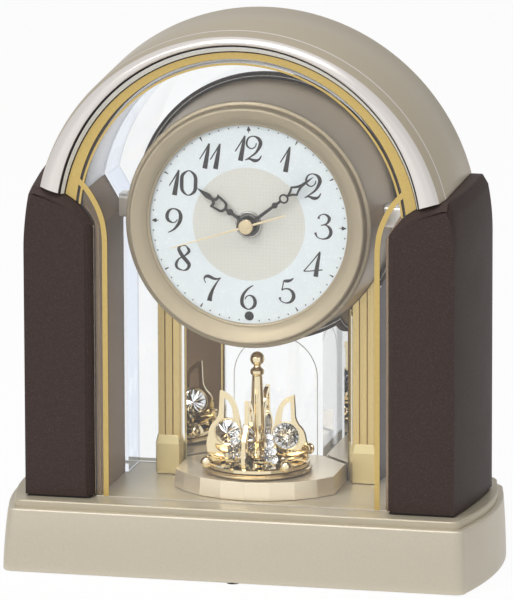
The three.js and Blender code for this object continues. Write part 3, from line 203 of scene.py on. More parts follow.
class ClockColours(bpy.types.PropertyGroup):
    """Colours of the finishes."""

    champagne: colour("Champagne", "Satin paint of the base and the barrel", 203, 194, 176)
    turntable: colour("Turntable", "Gloss metal of the turntable", 206, 184, 142)
    # Lighter than the column gold it shares a slot with: painted light that matches the blocks' lit fronts.
    block: colour("Blocks", "Gold of the blocks under the columns", 230, 212, 158)
    # Lighter than the champagne it shares a slot with: painted light that lifts the pedestal out of the drum's shade.
    pedestal: colour("Pedestal", "Gloss metal of the pedestal", 238, 224, 198)
    deck: colour("Deck", "Gloss paint of the deck", 194, 184, 162)
    brown: colour("Brown", "Metallic paint of the pillars", 71, 60, 57)
    pearl: colour("Pearl", "Satin rim of the arch", 233, 227, 222)
    barrel: colour("Barrel", "Satin paint of the arch", 192, 180, 158)
    bronze: colour("Bronze", "Satin metal of the side lining", 152, 127, 100)
    silver: colour("Silver", "Metal of the round lining", 205, 205, 208)
    flank: colour("Flank", "Folded sides of the columns", 86, 74, 70)
    print_gold: colour("Printed gold", "Lines on the front glass", 212, 184, 114)
    drum: colour("Drum", "Gloss metal of the drum", 174, 152, 120)
    arm: colour("Arm", "Gloss finish of the arms", 246, 242, 234)
    bezel: colour("Bezel", "Satin metal of the bezel", 177, 163, 138)
    dial: colour("Dial", "Outer part of the dial", 218, 225, 228)
    ivory: colour("Ivory", "Woven middle of the dial", 211, 210, 202)
    ink: colour("Ink", "Numerals and minute dots", 34, 29, 31)
    second: colour("Second hand", "Pale gold of the second hand", 226, 208, 168)
    cap: colour("Cap", "Spun gold cap of the hands", 222, 202, 166)
    gold: colour("Gold", "Plated gold of the ornament", 244, 226, 186)
    pale_gold: colour("Pale gold", "Columns and second hand", 199, 175, 116)


class ClockStageSettings(bpy.types.PropertyGroup):
    """Where the picture is taken from."""

    azimuth: angle("Azimuth", "Camera to the right of the front", 13.15)
    elevation: angle("Elevation", "Camera above the horizon", 12.33)
    roll: angle("Roll", "Turn of the picture", -0.17)
    distance: length("Distance", "From the camera to the point aimed at", 3698.76)
    aim_x: length("Aim x", "Point at the middle of the picture", 0.54)
    aim_z: length("Aim z", "Point at the middle of the picture", 123.29)


# Drawing helpers

def place(x, y, z):
    """A drawing point in the frame's metres."""
    return Vector((x * MM, (y + DEPTH) * MM, z * MM))


def bend(start, control, end, steps):
    """Points of a quadratic curve, the start left out."""
    points = []
    for k in range(1, steps + 1):
        t = k / steps
        points.append(tuple(
            (1 - t) ** 2 * a + 2 * t * (1 - t) * b + t * t * c for a, b, c in zip(start, control, end)))
    return points


def softened(profile, steps=4):
    """A closed profile of (u, v) or (u, v, radius) points with its given corners rounded."""
    result = []
    count = len(profile)
    for k, corner in enumerate(profile):
        here = Vector(corner[:2])
        radius = corner[2] if len(corner) > 2 else 0
        if not radius:
            result.append((here.x, here.y))
            continue
        before = Vector(profile[k - 1][:2]) - here
        after = Vector(profile[(k + 1) % count][:2]) - here
        reach = min(radius, before.length * 0.48, after.length * 0.48)
        start = here + before.normalized() * reach
        end = here + after.normalized() * reach
        result.append((start.x, start.y))
        result.extend(bend((start.x, start.y), (here.x, here.y), (end.x, end.y), steps))
    return result


def flowing(points, steps=7):
    """A smooth curve through points of any size, ends kept."""
    ends = [points[0], *points, points[-1]]
    result = [tuple(points[0])]
    for k in range(1, len(ends) - 2):
        p0, p1, p2, p3 = ends[k - 1:k + 3]
        for n in range(1, steps + 1):
            t = n / steps
            result.append(tuple(
                0.5 * (2 * b + (c - a) * t + (2 * a - 5 * b + 4 * c - d) * t * t + (3 * b - a - 3 * c + d) * t ** 3)
                for a, b, c, d in zip(p0, p1, p2, p3)))
    return result


def mesh_piece(name, points, faces, finishes, zones=None, sharp=30):
    """A smooth mesh object from drawing points. zones gives each face's place in the list of finishes."""
    mesh = bpy.data.meshes.new(name)
    mesh.from_pydata([place(*p) for p in points], [], faces)
    piece = bpy.data.objects.new(name, mesh)
    bpy.context.scene.collection.objects.link(piece)
    for finish in finishes if isinstance(finishes, (list, tuple)) else [finishes]:
        mesh.materials.append(finish)
    if zones:
        mesh.polygons.foreach_set("material_index", zones)
    return shaded(piece, sharp)


def shaded(piece, sharp=30):
    """Turns the faces outward, welds doubles and shades them smooth between sharp edges."""
    mesh = piece.data
    work = bmesh.new()
    work.from_mesh(mesh)
    bmesh.ops.remove_doubles(work, verts=work.verts, dist=1e-7)
    bmesh.ops.recalc_face_normals(work, faces=work.faces)
    work.to_mesh(mesh)
    work.free()
    mesh.polygons.foreach_set("use_smooth", [True] * len(mesh.polygons))
    mesh.set_sharp_from_angle(angle=math.radians(sharp))
    return piece


def skin(rings, closed=False):
    """Faces between rings of equal count. closed joins the last ring to the first, otherwise the ends are capped."""
    count = len(rings[0])
    points = [p for ring in rings for p in ring]
    faces = []
    last = len(rings) if closed else len(rings) - 1
    for r in range(last):
        for k in range(count):
            a, b = r * count + k, r * count + (k + 1) % count
            c, d = ((r + 1) % len(rings)) * count + (k + 1) % count, ((r + 1) % len(rings)) * count + k
            faces.append((a, b, c, d))
    if not closed:
        faces.append(tuple(reversed(range(count))))
        faces.append(tuple(range((len(rings) - 1) * count, len(rings) * count)))
    return points, faces


def lofted(name, rings, finishes, sharp=30, zone=None):
    """Solid over a row of rings. zone(band, side) gives the place of each face in the list of finishes."""
    points, faces = skin(rings)
    zones = None
    if zone:
        zones = [zone(r, k) for r in range(len(rings) - 1) for k in range(len(rings[0]))] + [0, 0]
    return mesh_piece(name, points, faces, finishes, zones, sharp)


def turned(name, profile, finishes, z=0, x=0, steps=128, zones=None, sharp=30):
    """Ring about a line along y. The closed profile holds (radius, y); zones has a finish for each of its sides."""
    return revolved(name, profile, finishes, lambda r, v, c, s: (x + r * s, v, z + r * c), steps, zones, sharp)


def spun(name, profile, finishes, x=0, y=0, steps=96, zones=None, sharp=30):
    """Solid about an upright line. The profile holds (radius, z)."""
    return revolved(name, profile, finishes, lambda r, v, c, s: (x + r * s, y - r * c, v), steps, zones, sharp)


def revolved(name, profile, finishes, spot, steps, zones, sharp):
    rings = []
    section = profile if callable(profile) else lambda turn: profile
    for k in range(steps):
        turn = 2 * math.pi * k / steps
        rings.append([spot(max(r, 0), v, math.cos(turn), math.sin(turn)) for r, v in section(turn)])
    profile = section(0)
    points, faces = skin(rings, closed=True)
    sides = [zones[k] for _ in range(steps) for k in range(len(profile))] if zones else None
    kept = [k for k, face in enumerate(faces) if not on_axis(face, profile)]
    return mesh_piece(
        name, points, [faces[k] for k in kept], finishes, [sides[k] for k in kept] if sides else None, sharp)


def on_axis(face, profile):
    """True for a face that runs along the axis and so has no area."""
    return all(profile[corner % len(profile)][0] <= 0 for corner in face)


def slab(name, outline, front, rear, finishes, sharp=30):
    """Prism of an (x, z) outline that runs along y."""
    return lofted(name, [[(x, y, z) for x, z in outline] for y in (front, rear)], finishes, sharp)


def prism(name, plan, bottom, top, finishes, sharp=30, zone=None):
    return lofted(name, [[(x, y, z) for x, y in plan] for z in (bottom, top)], finishes, sharp, zone)


def box(name, x0, x1, y0, y1, z0, z1, finishes=()):
    return prism(name, [(x0, y0), (x1, y0), (x1, y1), (x0, y1)], z0, z1, finishes)


def circle(radius, x=0, z=0, steps=128):
    return [(x + radius * math.sin(2 * math.pi * k / steps), z + radius * math.cos(2 * math.pi * k / steps))
            for k in range(steps)]


def rod(name, radius, x, z, front, rear, finishes=()):
    return slab(name, circle(radius, x, z, 64), front, rear, finishes)


def combined(piece, tools, operation):
    for tool in tools:
        change = piece.modifiers.new("joint", "BOOLEAN")
        change.operation = operation
        change.solver = "EXACT"
        change.object = tool
        with bpy.context.temp_override(object=piece, active_object=piece):
            bpy.ops.object.modifier_apply(modifier=change.name)
        bpy.data.objects.remove(tool)
    return piece


def cut(piece, *tools, sharp=30):
    combined(piece, tools, "DIFFERENCE")
    return shaded(piece, sharp)


def eased(piece, width, segments=2, limit=35):
    """Small round on the sharp edges of a piece."""
    change = piece.modifiers.new("edges", "BEVEL")
    change.width = width * MM
    change.segments = segments
    change.limit_method = "ANGLE"
    change.angle_limit = math.radians(limit)
    change.harden_normals = True
    piece.data.polygons.foreach_set("use_smooth", [True] * len(piece.data.polygons))
    return piece


def mirrored(piece, name):
    """A copy of a piece on the other side of the middle plane."""
    other = piece.copy()
    other.data = piece.data.copy()
    other.name = name
    bpy.context.scene.collection.objects.link(other)
    other.data.transform(Matrix.Scale(-1, 4, (1, 0, 0)))
    other.data.flip_normals()
    return other


def fitted(piece, body, slot, *nodes):
    """Puts a piece on its body, in place of the nodes it stands for. The slot argument is not used."""
    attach(piece, body)
    if nodes:
        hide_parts(*nodes)
    return piece


def ribbons(name, paths, front, rear, finish, close=False):
    """Flat printed strokes in the x-z plane. Each path holds (x, z, width) points."""
    points, faces = [], []
    for number, path in enumerate(paths):
        lift = 0.0015 * number
        start = len(points)
        count = len(path)
        for k, (x, z, width) in enumerate(path):
            ahead = path[(k + 1) % count] if close or k + 1 < count else path[k]
            behind = path[k - 1] if close or k else path[k]
            way = Vector((ahead[0] - behind[0], ahead[1] - behind[1])).normalized()
            side = Vector((-way.y, way.x)) * width / 2
            for y in (front - lift, rear):
                points.append((x + side.x, y, z + side.y))
                points.append((x - side.x, y, z - side.y))
        for k in range(count if close else count - 1):
            a, b = start + 4 * k, start + 4 * ((k + 1) % count)
            faces += [(a, b, b + 1, a + 1), (a + 1, b + 1, b + 3, a + 3), (a + 3, b + 3, b + 2, a + 2),
                      (a + 2, b + 2, b, a)]
        if not close:
            faces.append((start, start + 1, start + 3, start + 2))
            end = start + 4 * (count - 1)
            faces.append((end, end + 2, end + 3, end + 1))
    return mesh_piece(name, points, faces, finish)


def merged(name, pieces):
    """Joins pieces of one finish into the first of them."""
    with bpy.context.temp_override(active_object=pieces[0], selected_editable_objects=pieces):
        bpy.ops.object.join()
    pieces[0].name = name
    return pieces[0]


# Shared effects, as shader node groups

def group_sockets(name, inputs, outputs):
    """A new node group with float or colour sockets, and its input and output nodes."""
    group = bpy.data.node_groups.new(name, "ShaderNodeTree")
    for label, kind, value in inputs:
        socket = group.interface.new_socket(label, in_out="INPUT", socket_type=kind)
        socket.default_value = value
    for label, kind in outputs:
        group.interface.new_socket(label, in_out="OUTPUT", socket_type=kind)
    return group, group.nodes.new("NodeGroupInput"), group.nodes.new("NodeGroupOutput")


FLOAT, COLOUR = "NodeSocketFloat", "NodeSocketColor"
GREY = (0.5, 0.5, 0.5, 1)


def shared_group(name, build):
    return bpy.data.node_groups.get(name) or build(name)


def metal_flake(name):
    """Fine flakes in a paint: each cell a little lighter or darker, a few of them brightened as painted glints."""
    group, given, result = group_sockets(
        name,
        [("Colour", COLOUR, GREY), ("Flakes", FLOAT, 2500), ("Spread", FLOAT, 0.1), ("Glint", FLOAT, 0.1)],
        [("Colour", COLOUR), ("Height", FLOAT)])
    nodes, link = group.nodes, group.links.new
    spot = nodes.new("ShaderNodeTexCoord")
    cells = nodes.new("ShaderNodeTexVoronoi")
    split = nodes.new("ShaderNodeSeparateColor")
    link(spot.outputs["Object"], cells.inputs["Vector"])
    link(given.outputs["Flakes"], cells.inputs["Scale"])
    link(cells.outputs["Color"], split.inputs[0])
    swing = calc(group, "MULTIPLY", calc(group, "SUBTRACT", split.outputs[0], 0.5), given.outputs["Spread"])
    # Painted glints: the Glint amount brightens a few cells of the colour.
    bright = calc(group, "MULTIPLY", calc(group, "GREATER_THAN", split.outputs[1], 0.96), given.outputs["Glint"])
    shade = calc(group, "ADD", calc(group, "ADD", swing, bright), 1.0)
    scale = nodes.new("ShaderNodeVectorMath")
    scale.operation = "SCALE"
    link(given.outputs["Colour"], scale.inputs[0])
    link(shade, scale.inputs["Scale"])
    link(scale.outputs[0], result.inputs["Colour"])
    link(split.outputs[0], result.inputs["Height"])
    return group


def soft_haze(name):
    """Gloss that changes slowly over the surface, as on a handled finish."""
    group, given, result = group_sockets(
        name, [("Roughness", FLOAT, 0.3), ("Spread", FLOAT, 0.05), ("Scale", FLOAT, 40)], [("Roughness", FLOAT)])
    nodes, link = group.nodes, group.links.new
    spot = nodes.new("ShaderNodeTexCoord")
    noise = nodes.new("ShaderNodeTexNoise")
    noise.inputs["Detail"].default_value = 4
    link(spot.outputs["Object"], noise.inputs["Vector"])
    link(given.outputs["Scale"], noise.inputs["Scale"])
    swing = calc(group, "MULTIPLY", calc(group, "SUBTRACT", noise.outputs["Fac"], 0.5), given.outputs["Spread"])
    link(calc(group, "ADD", swing, given.outputs["Roughness"]), result.inputs["Roughness"])
    return group


def orange_peel(name):
    """Fine unevenness of sprayed or moulded surfaces, as a height."""
    group, given, result = group_sockets(name, [("Scale", FLOAT, 900), ("Depth", FLOAT, 1)], [("Height", FLOAT)])
    nodes, link = group.nodes, group.links.new
    spot = nodes.new("ShaderNodeTexCoord")
    noise = nodes.new("ShaderNodeTexNoise")
    noise.inputs["Detail"].default_value = 2
    link(spot.outputs["Object"], noise.inputs["Vector"])
    link(given.outputs["Scale"], noise.inputs["Scale"])
    link(calc(group, "MULTIPLY", noise.outputs["Fac"], given.outputs["Depth"]), result.inputs["Height"])
    return group


def edge_rub(name):
    """Mask of the raised edges, where a painted highlight makes paint and plating lighter."""
    group, given, result = group_sockets(name, [("Reach", FLOAT, 0.06)], [("Mask", FLOAT)])
    nodes, link = group.nodes, group.links.new
    shape = nodes.new("ShaderNodeNewGeometry")
    ramp = nodes.new("ShaderNodeMapRange")
    ramp.inputs["From Min"].default_value = 0.51
    link(shape.outputs["Pointiness"], ramp.inputs["Value"])
    link(calc(group, "ADD", given.outputs["Reach"], 0.51), ramp.inputs["From Max"])
    link(ramp.outputs[0], result.inputs["Mask"])
    return group


def calc(tree, operation, first, second):
    """A math node in a material or a group, and its result."""
    node = tree.nodes.new("ShaderNodeMath")
    node.operation = operation
    for k, value in enumerate((first, second)):
        if isinstance(value, (int, float)):
            node.inputs[k].default_value = value
        else:
            tree.links.new(value, node.inputs[k])
    return node.outputs[0]


# Finishes

def new_finish(name):
    finish = bpy.data.materials.new(name)
    finish.use_nodes = True
    return finish, finish.node_tree, finish.node_tree.nodes["Principled BSDF"]


def effect(tree, name, build, **values):
    node = tree.nodes.new("ShaderNodeGroup")
    node.node_tree = shared_group(name, build)
    for label, value in values.items():
        node.inputs[label].default_value = value
    return node


def bumped(tree, shader, height, distance):
    bump = tree.nodes.new("ShaderNodeBump")
    bump.inputs["Distance"].default_value = distance * MM
    tree.links.new(height, bump.inputs["Height"])
    tree.links.new(bump.outputs["Normal"], shader.inputs["Normal"])


def rgba(value):
    return (*value, 1)


def mixed(tree, mask, first, second):
    """A colour between two, by a mask."""
    node = tree.nodes.new("ShaderNodeMix")
    node.data_type = "RGBA"
    tree.links.new(mask, node.inputs[0])
    for socket, value in ((node.inputs[6], first), (node.inputs[7], second)):
        if isinstance(value, tuple):
            socket.default_value = value
        else:
            tree.links.new(value, socket)
    return node.outputs[2]


def paint(name, shade, metallic=0.0, roughness=0.4, coat=0.0, flakes=2500, spread=0.08, glint=0.0, rub=0.0, peel=0.01,
          gloss=0.5):
    """Sprayed or plated finish: flakes with painted glints, soft haze, a painted highlight on the raised edges and a
    fine peel.
    """
    finish, tree, shader = new_finish(name)
    shader.inputs["Metallic"].default_value = metallic
    shader.inputs["Specular IOR Level"].default_value = gloss
    shader.inputs["Coat Weight"].default_value = coat
    shader.inputs["Coat Roughness"].default_value = 0.08
    flake = effect(tree, "metal_flake", metal_flake, Colour=rgba(shade), Flakes=flakes, Spread=spread, Glint=glint)
    tone = flake.outputs["Colour"]
    # Painted highlight: the raised edges are mixed towards a lighter colour.
    if rub:
        edge = effect(tree, "edge_rub", edge_rub, Reach=0.08)
        edge_light = calc(tree, "MULTIPLY", edge.outputs["Mask"], rub)
        tone = mixed(tree, edge_light, tone, rgba([min(1, part * 1.6 + 0.06) for part in shade]))
    tree.links.new(tone, shader.inputs["Base Color"])
    haze = effect(tree, "soft_haze", soft_haze, Roughness=roughness, Spread=roughness * 0.2, Scale=60)
    tree.links.new(haze.outputs["Roughness"], shader.inputs["Roughness"])
    grain = effect(tree, "orange_peel", orange_peel, Scale=1400, Depth=1)
    bumped(tree, shader, grain.outputs["Height"], peel)
    return finish


def lit_through(tree, shader):
    """Lets the lamps shine through a clear piece."""
    rays = tree.nodes.new("ShaderNodeLightPath")
    open_way = tree.nodes.new("ShaderNodeBsdfTransparent")
    mix = tree.nodes.new("ShaderNodeMixShader")
    tree.links.new(rays.outputs["Is Shadow Ray"], mix.inputs[0])
    tree.links.new(shader.outputs[0], mix.inputs[1])
    tree.links.new(open_way.outputs[0], mix.inputs[2])
    tree.links.new(mix.outputs[0], tree.nodes["Material Output"].inputs["Surface"])


def clear(name, tint, ior=1.45, roughness=0.0, haze=0.02):
    """Glass or clear plastic with a faint uneven polish."""
    finish, tree, shader = new_finish(name)
    shader.inputs["Transmission Weight"].default_value = 1
    shader.inputs["IOR"].default_value = ior
    flake = effect(tree, "metal_flake", metal_flake, Colour=rgba(tint), Flakes=120, Spread=0.01)
    tree.links.new(flake.outputs["Colour"], shader.inputs["Base Color"])
    polish = effect(tree, "soft_haze", soft_haze, Roughness=roughness, Spread=haze, Scale=30)
    tree.links.new(polish.outputs["Roughness"], shader.inputs["Roughness"])
    lit_through(tree, shader)
    return finish


def dial_paper(name, shades, drum):
    """White dial whose middle is an ivory disc with a fine linen weave."""
    finish, tree, shader = new_finish(name)
    nodes, link = tree.nodes, tree.links.new
    spot = nodes.new("ShaderNodeTexCoord")
    move = nodes.new("ShaderNodeVectorMath")
    move.inputs[1].default_value = (0, 0, -drum.dial_height * MM)
    flat = nodes.new("ShaderNodeVectorMath")
    flat.operation = "MULTIPLY"
    flat.inputs[1].default_value = (1, 0, 1)
    reach = nodes.new("ShaderNodeVectorMath")
    reach.operation = "LENGTH"
    link(spot.outputs["Object"], move.inputs[0])
    link(move.outputs[0], flat.inputs[0])
    link(flat.outputs[0], reach.inputs[0])
    inside = nodes.new("ShaderNodeMapRange")
    inside.inputs["From Min"].default_value = (drum.ivory_radius + 0.15) * MM
    inside.inputs["From Max"].default_value = (drum.ivory_radius - 0.15) * MM
    link(reach.outputs["Value"], inside.inputs["Value"])
    weave = []
    for direction in ("X", "Z"):
        threads = nodes.new("ShaderNodeTexWave")
        threads.bands_direction = direction
        threads.inputs["Scale"].default_value = 190
        threads.inputs["Distortion"].default_value = 1.5
        threads.inputs["Detail"].default_value = 2
        threads.inputs["Detail Scale"].default_value = 3
        link(spot.outputs["Object"], threads.inputs["Vector"])
        weave.append(threads.outputs["Fac"])
    cloth = calc(tree, "MULTIPLY", calc(tree, "ADD", weave[0], weave[1]), 0.5)
    dark = rgba([part * 0.93 for part in shades.ivory])
    ivory = mixed(tree, cloth, dark, rgba(shades.ivory))
    speck = effect(tree, "metal_flake", metal_flake, Colour=rgba(shades.dial), Flakes=1800, Spread=0.015)
    link(mixed(tree, inside.outputs[0], speck.outputs["Colour"], ivory), shader.inputs["Base Color"])
    haze = effect(tree, "soft_haze", soft_haze, Roughness=0.42, Spread=0.08, Scale=50)
    link(haze.outputs["Roughness"], shader.inputs["Roughness"])
    bumped(tree, shader, calc(tree, "MULTIPLY", cloth, inside.outputs[0]), 0.03)
    return finish


def make_finishes(shades, drum):
    """Every finish of the clock, by name."""
    gold_rub = dict(metallic=1.0, spread=0.03, peel=0.003)
    return SimpleNamespace(
        champagne=paint("champagne_satin", shades.champagne, 0.45, 0.4, 0.04, spread=0.06, rub=0.25, gloss=0.2),
        deck=paint("deck_gloss", shades.deck, 0.35, 0.4, spread=0.03, peel=0.001, gloss=0.3),
        # The pedestal's colour is lightened as painted light against the drum's shade.
        pedestal=paint("pedestal_lightened_gloss", shades.pedestal, 0.6, 0.24, spread=0.03, peel=0.001),
        # The blocks' colour is lightened as painted light on their lit fronts.
        block=paint("block_lightened_gold", shades.block, 0.7, 0.25, spread=0.04, peel=0.002),
        barrel=paint("barrel_satin", shades.barrel, 0.5, 0.36, 0.1, spread=0.06),
        turntable=paint("turntable_gloss", shades.turntable, 0.8, 0.24, 0.2, spread=0.03, peel=0.001),
        # The brown's bright flake cells are painted glints.
        brown=paint("brown_metallic", shades.brown, 0.1, 0.46, 0.0, 3800, 0.35, 0.6, 0.0, 0.006, gloss=0.04),
        pearl=paint("pearl_satin", shades.pearl, 0.55, 0.3, 0.1, spread=0.01, peel=0.001),
        # Near-black painted shade, for the frame's groove and the seat under the pillars.
        groove=paint("painted_shade_black", (0.006, 0.005, 0.005), 0.0, 0.5, spread=0.2),
        reveal=paint("reveal_silver", [linear(v / 255) for v in (247, 247, 243)], 0.0, 0.35, spread=0.04),
        bronze=paint("bronze_satin", shades.bronze, 0.4, 0.42, spread=0.03, peel=0.001, gloss=0.1),
        silver=paint("lining_metal", shades.silver, 0.9, 0.26, spread=0.02, peel=0.001),
        flank=paint("flank_grey", shades.flank, 0.3, 0.4, spread=0.06, peel=0.002, gloss=0.3),
        print_gold=paint("printed_gold", shades.print_gold, 0.55, 0.42, flakes=2200, spread=0.12, peel=0.004),
        drum=paint("drum_gloss", shades.drum, 0.65, 0.36, spread=0.02, peel=0.0003),
        arm=paint("arm_gloss", shades.arm, 0.5, 0.25, 0.0, spread=0.02, peel=0.0006),
        bezel=paint("bezel_satin", shades.bezel, 0.6, 0.46, 0.0, spread=0.03, peel=0.001, gloss=0.3),
        dial=dial_paper("dial_paper", shades, drum),
        ink=paint("numeral_ink", shades.ink, 0.0, 0.35, spread=0.08),
        hand_black=paint("hand_black", (0.012, 0.01, 0.01), 0.3, 0.28, 0.3, spread=0.2),
        pale_gold=paint("pale_gold", shades.pale_gold, 0.9, 0.26, 0.1, spread=0.05, rub=0.3, peel=0.004),
        cap=paint("cap_gold", shades.cap, 0.9, 0.24, spread=0.03, peel=0.001),
        second=paint("second_gold", shades.second, 0.6, 0.3, spread=0.03, peel=0.001),
        gold=paint("plated_gold", shades.gold, roughness=0.07, **gold_rub),
        gold_soft=paint("cast_gold", shades.gold, roughness=0.16, **gold_rub),
        foil=paint("stone_foil", [0.95, 0.95, 0.96], 1.0, 0.03, spread=0.02, peel=0.0004),
        chrome=paint("nut_chrome", [0.42, 0.4, 0.38], 1.0, 0.16, spread=0.02, rub=0.2, peel=0.0006),
        mirror=paint("mirror_silver", [0.88, 0.88, 0.88], 1.0, 0.02, spread=0.01, peel=0.0005),
        glass=clear("front_glass", [0.99, 0.995, 0.99], haze=0.004),
        cover=clear("clear_cover", [0.975, 0.985, 0.995], haze=0.006),
        cover_wall=clear("clear_cover_wall", [0.76, 0.82, 0.94], haze=0.02),
        crystal=clear("cut_crystal", [0.99, 0.99, 1.0], 1.4),
        black=paint("black_plastic", (0.012, 0.011, 0.011), 0.0, 0.45, spread=0.3, peel=0.02),
        grey=paint("grey_plastic", [linear(v / 255) for v in (141, 138, 134)], 0.0, 0.55, spread=0.1, peel=0.03),
        rubber=paint("foot_rubber", (0.02, 0.018, 0.018), 0.0, 0.85, spread=0.3, peel=0.04),
        steel=paint("turned_steel", (0.42, 0.42, 0.41), 1.0, 0.32, spread=0.1, rub=0.3),
        battery=paint("battery_sleeve", (0.18, 0.2, 0.23), 0.6, 0.3, 0.3, spread=0.05),
        board=paint("board_green", (0.02, 0.11, 0.05), 0.0, 0.45, 0.3, 900, 0.35),
        copper=paint("copper_wire", (0.5, 0.2, 0.09), 1.0, 0.35, 0.2, 4000, 0.4, peel=0.05),
        brass=paint("brass_wheel", (0.55, 0.4, 0.14), 1.0, 0.3, spread=0.1, rub=0.3),
    )


SLOT_FINISH = {
    "champagne_plastic": "champagne", "glossy_deck": "deck", "grey_plastic": "grey", "rubber_foot": "rubber",
    "steel": "steel", "battery_can": "battery", "black_plastic": "black", "brown_paint": "brown",
    "satin_rim": "pearl", "clear_glass": "glass", "bronze_lining": "bronze", "silver_lining": "silver",
    "clear_cover": "cover", "champagne_drum": "drum", "satin_bezel": "bezel", "dial_white": "dial",
    "green_board": "board", "copper_winding": "copper", "brass_wheel": "brass", "black_hand": "hand_black",
    "gold_hand": "pale_gold", "gold_column": "pale_gold", "mirror_plate": "mirror", "ornament_gold": "gold",
    "crystal": "crystal",
}
FINISHES = {}


def finishes_of(context):
    """The clock's finishes, made once."""
    if not FINISHES:
        made = make_finishes(context.scene.clock_colours, in_mm(context.scene.clock_drum))
        FINISHES.update(vars(made))
    return SimpleNamespace(**FINISHES)


class ClockOperator(bpy.types.Operator):
    """Shared start of the clock's operators."""

    bl_options = {"REGISTER", "UNDO"}

    def execute(self, context):
        scene = context.scene
        self.build(finishes_of(context), in_mm(scene.clock_case), in_mm(scene.clock_drum), in_mm(scene.clock_ornament))
        return {"FINISHED"}


# Stage

class CLOCK_OT_stage(bpy.types.Operator):
    """Camera, white floor, soft lamps and a white surround"""

    bl_idname = "clock.stage"
    bl_label = "Stage"

    def execute(self, context):
        scene = context.scene
        scene.view_settings.view_transform = "Standard"
        aim_camera(scene, scene.clock_stage)
        lay_floor()
        light_world(scene)
        lamp("key_lamp", (-0.5, -1.2, 1.1), 0.9, 10.3)
        lamp("fill_lamp", (1.0, -1.0, 0.55), 0.9, 0.6)
        lamp("top_lamp", (0.0, -0.3, 1.35), 0.9, 8)
        return {"FINISHED"}


def aim_camera(scene, stage):
    data = bpy.data.cameras.new("camera")
    camera = bpy.data.objects.new("camera", data)
    scene.collection.objects.link(camera)
    scene.camera = camera
    data.sensor_width = 36
    data.lens = 480
    data.clip_end = 20
    az, el, roll = stage.azimuth, stage.elevation, stage.roll
    back = Vector((math.sin(az) * math.cos(el), -math.cos(az) * math.cos(el), math.sin(el)))
    right = Vector((math.cos(az), math.sin(az), 0))
    up = back.cross(right)
    right, up = math.cos(roll) * right + math.sin(roll) * up, math.cos(roll) * up - math.sin(roll) * right
    turn = Matrix((right, up, back)).transposed().to_4x4()
    aim = Vector((stage.aim_x, DEPTH * MM, stage.aim_z))
    camera.matrix_world = Matrix.Translation(aim + back * stage.distance) @ turn


def seen_rays(tree):
    """1 for rays that show the surround itself, straight to the camera or through glass."""
    rays = tree.nodes.new("ShaderNodeLightPath")
    return calc(tree, "MAXIMUM", rays.outputs["Is Camera Ray"], rays.outputs["Is Transmission Ray"])


def lay_floor():
    half = 3000
    floor = box("floor", -half, half, -half, half, -20, 0)
    finish, tree, shader = new_finish("floor_white")
    shader.inputs["Base Color"].default_value = (0.9, 0.9, 0.9, 1)
    shader.inputs["Roughness"].default_value = 0.9
    white = tree.nodes.new("ShaderNodeEmission")
    mix = tree.nodes.new("ShaderNodeMixShader")
    rays = tree.nodes.new("ShaderNodeLightPath")
    glow = calc(tree, "MULTIPLY", rays.outputs["Is Glossy Ray"], 0.9)
    tree.links.new(calc(tree, "MAXIMUM", calc(tree, "MULTIPLY", seen_rays(tree), 0.95), glow), mix.inputs[0])
    tree.links.new(shader.outputs[0], mix.inputs[1])
    tree.links.new(white.outputs[0], mix.inputs[2])
    tree.links.new(mix.outputs[0], tree.nodes["Material Output"].inputs["Surface"])
    floor.data.materials.append(finish)


def light_world(scene):
    world = bpy.data.worlds.new("surround")
    scene.world = world
    world.use_nodes = True
    tree = world.node_tree
    sky = tree.nodes["Background"]
    sky.inputs["Color"].default_value = (1, 1, 1, 1)
    rays = tree.nodes.new("ShaderNodeLightPath")
    mirrored_light = calc(tree, "MULTIPLY", rays.outputs["Is Glossy Ray"], 0.58)
    strength = calc(tree, "MAXIMUM", calc(tree, "MAXIMUM", mirrored_light, seen_rays(tree)), 0.3)
    tree.links.new(strength, sky.inputs["Strength"])


def lamp(name, spot, size, power):
    data = bpy.data.lights.new(name, "AREA")
    data.size = size
    data.energy = power
    light = bpy.data.objects.new(name, data)
    bpy.context.scene.collection.objects.link(light)
    light.location = spot
    light.rotation_euler = (Vector((0, 0, 0.13)) - Vector(spot)).to_track_quat("-Z", "Y").to_euler()


# Frame finishes

class CLOCK_OT_inner_works(ClockOperator):
    """Finishes of the pieces that keep the frame's own shape, such as the glass, the mirrors and the movement"""

    bl_idname = "clock.inner_works"
    bl_label = "Inner works"

    def build(self, finish, case, drum, ornament):
        for part in frame["record"]["subparts"]:
            mesh = frame["nodes"][part["node"]].data
            mesh.materials.clear()
            mesh.materials.append(getattr(finish, SLOT_FINISH[part["material_slot"]]))


# Base

def base_plan(case, front, side, rear):
    """Plan of the base: straight front, bowed sides and round rear corners, drawn in by the three insets."""
    half = case.base_half - side
    y0, y1 = BASE_FRONT + front, case.base_rear - rear
    corner, rear_corner = case.base_corner, case.base_rear_corner
    edge = [(half - corner, y0)]
    edge += bend(edge[-1], (half, y0), (half, y0 + corner), 8)
    edge += bend(edge[-1], (half + case.base_bow, (y0 + y1) / 2), (half, y1 - rear_corner / 2), 28)
    edge += bend(edge[-1], (half, y1), (half - rear_corner, y1), 16)
    return edge + [(-x, y) for x, y in reversed(edge)]


def at_height(plan, z):
    return [(x, y, z) for x, y in plan]


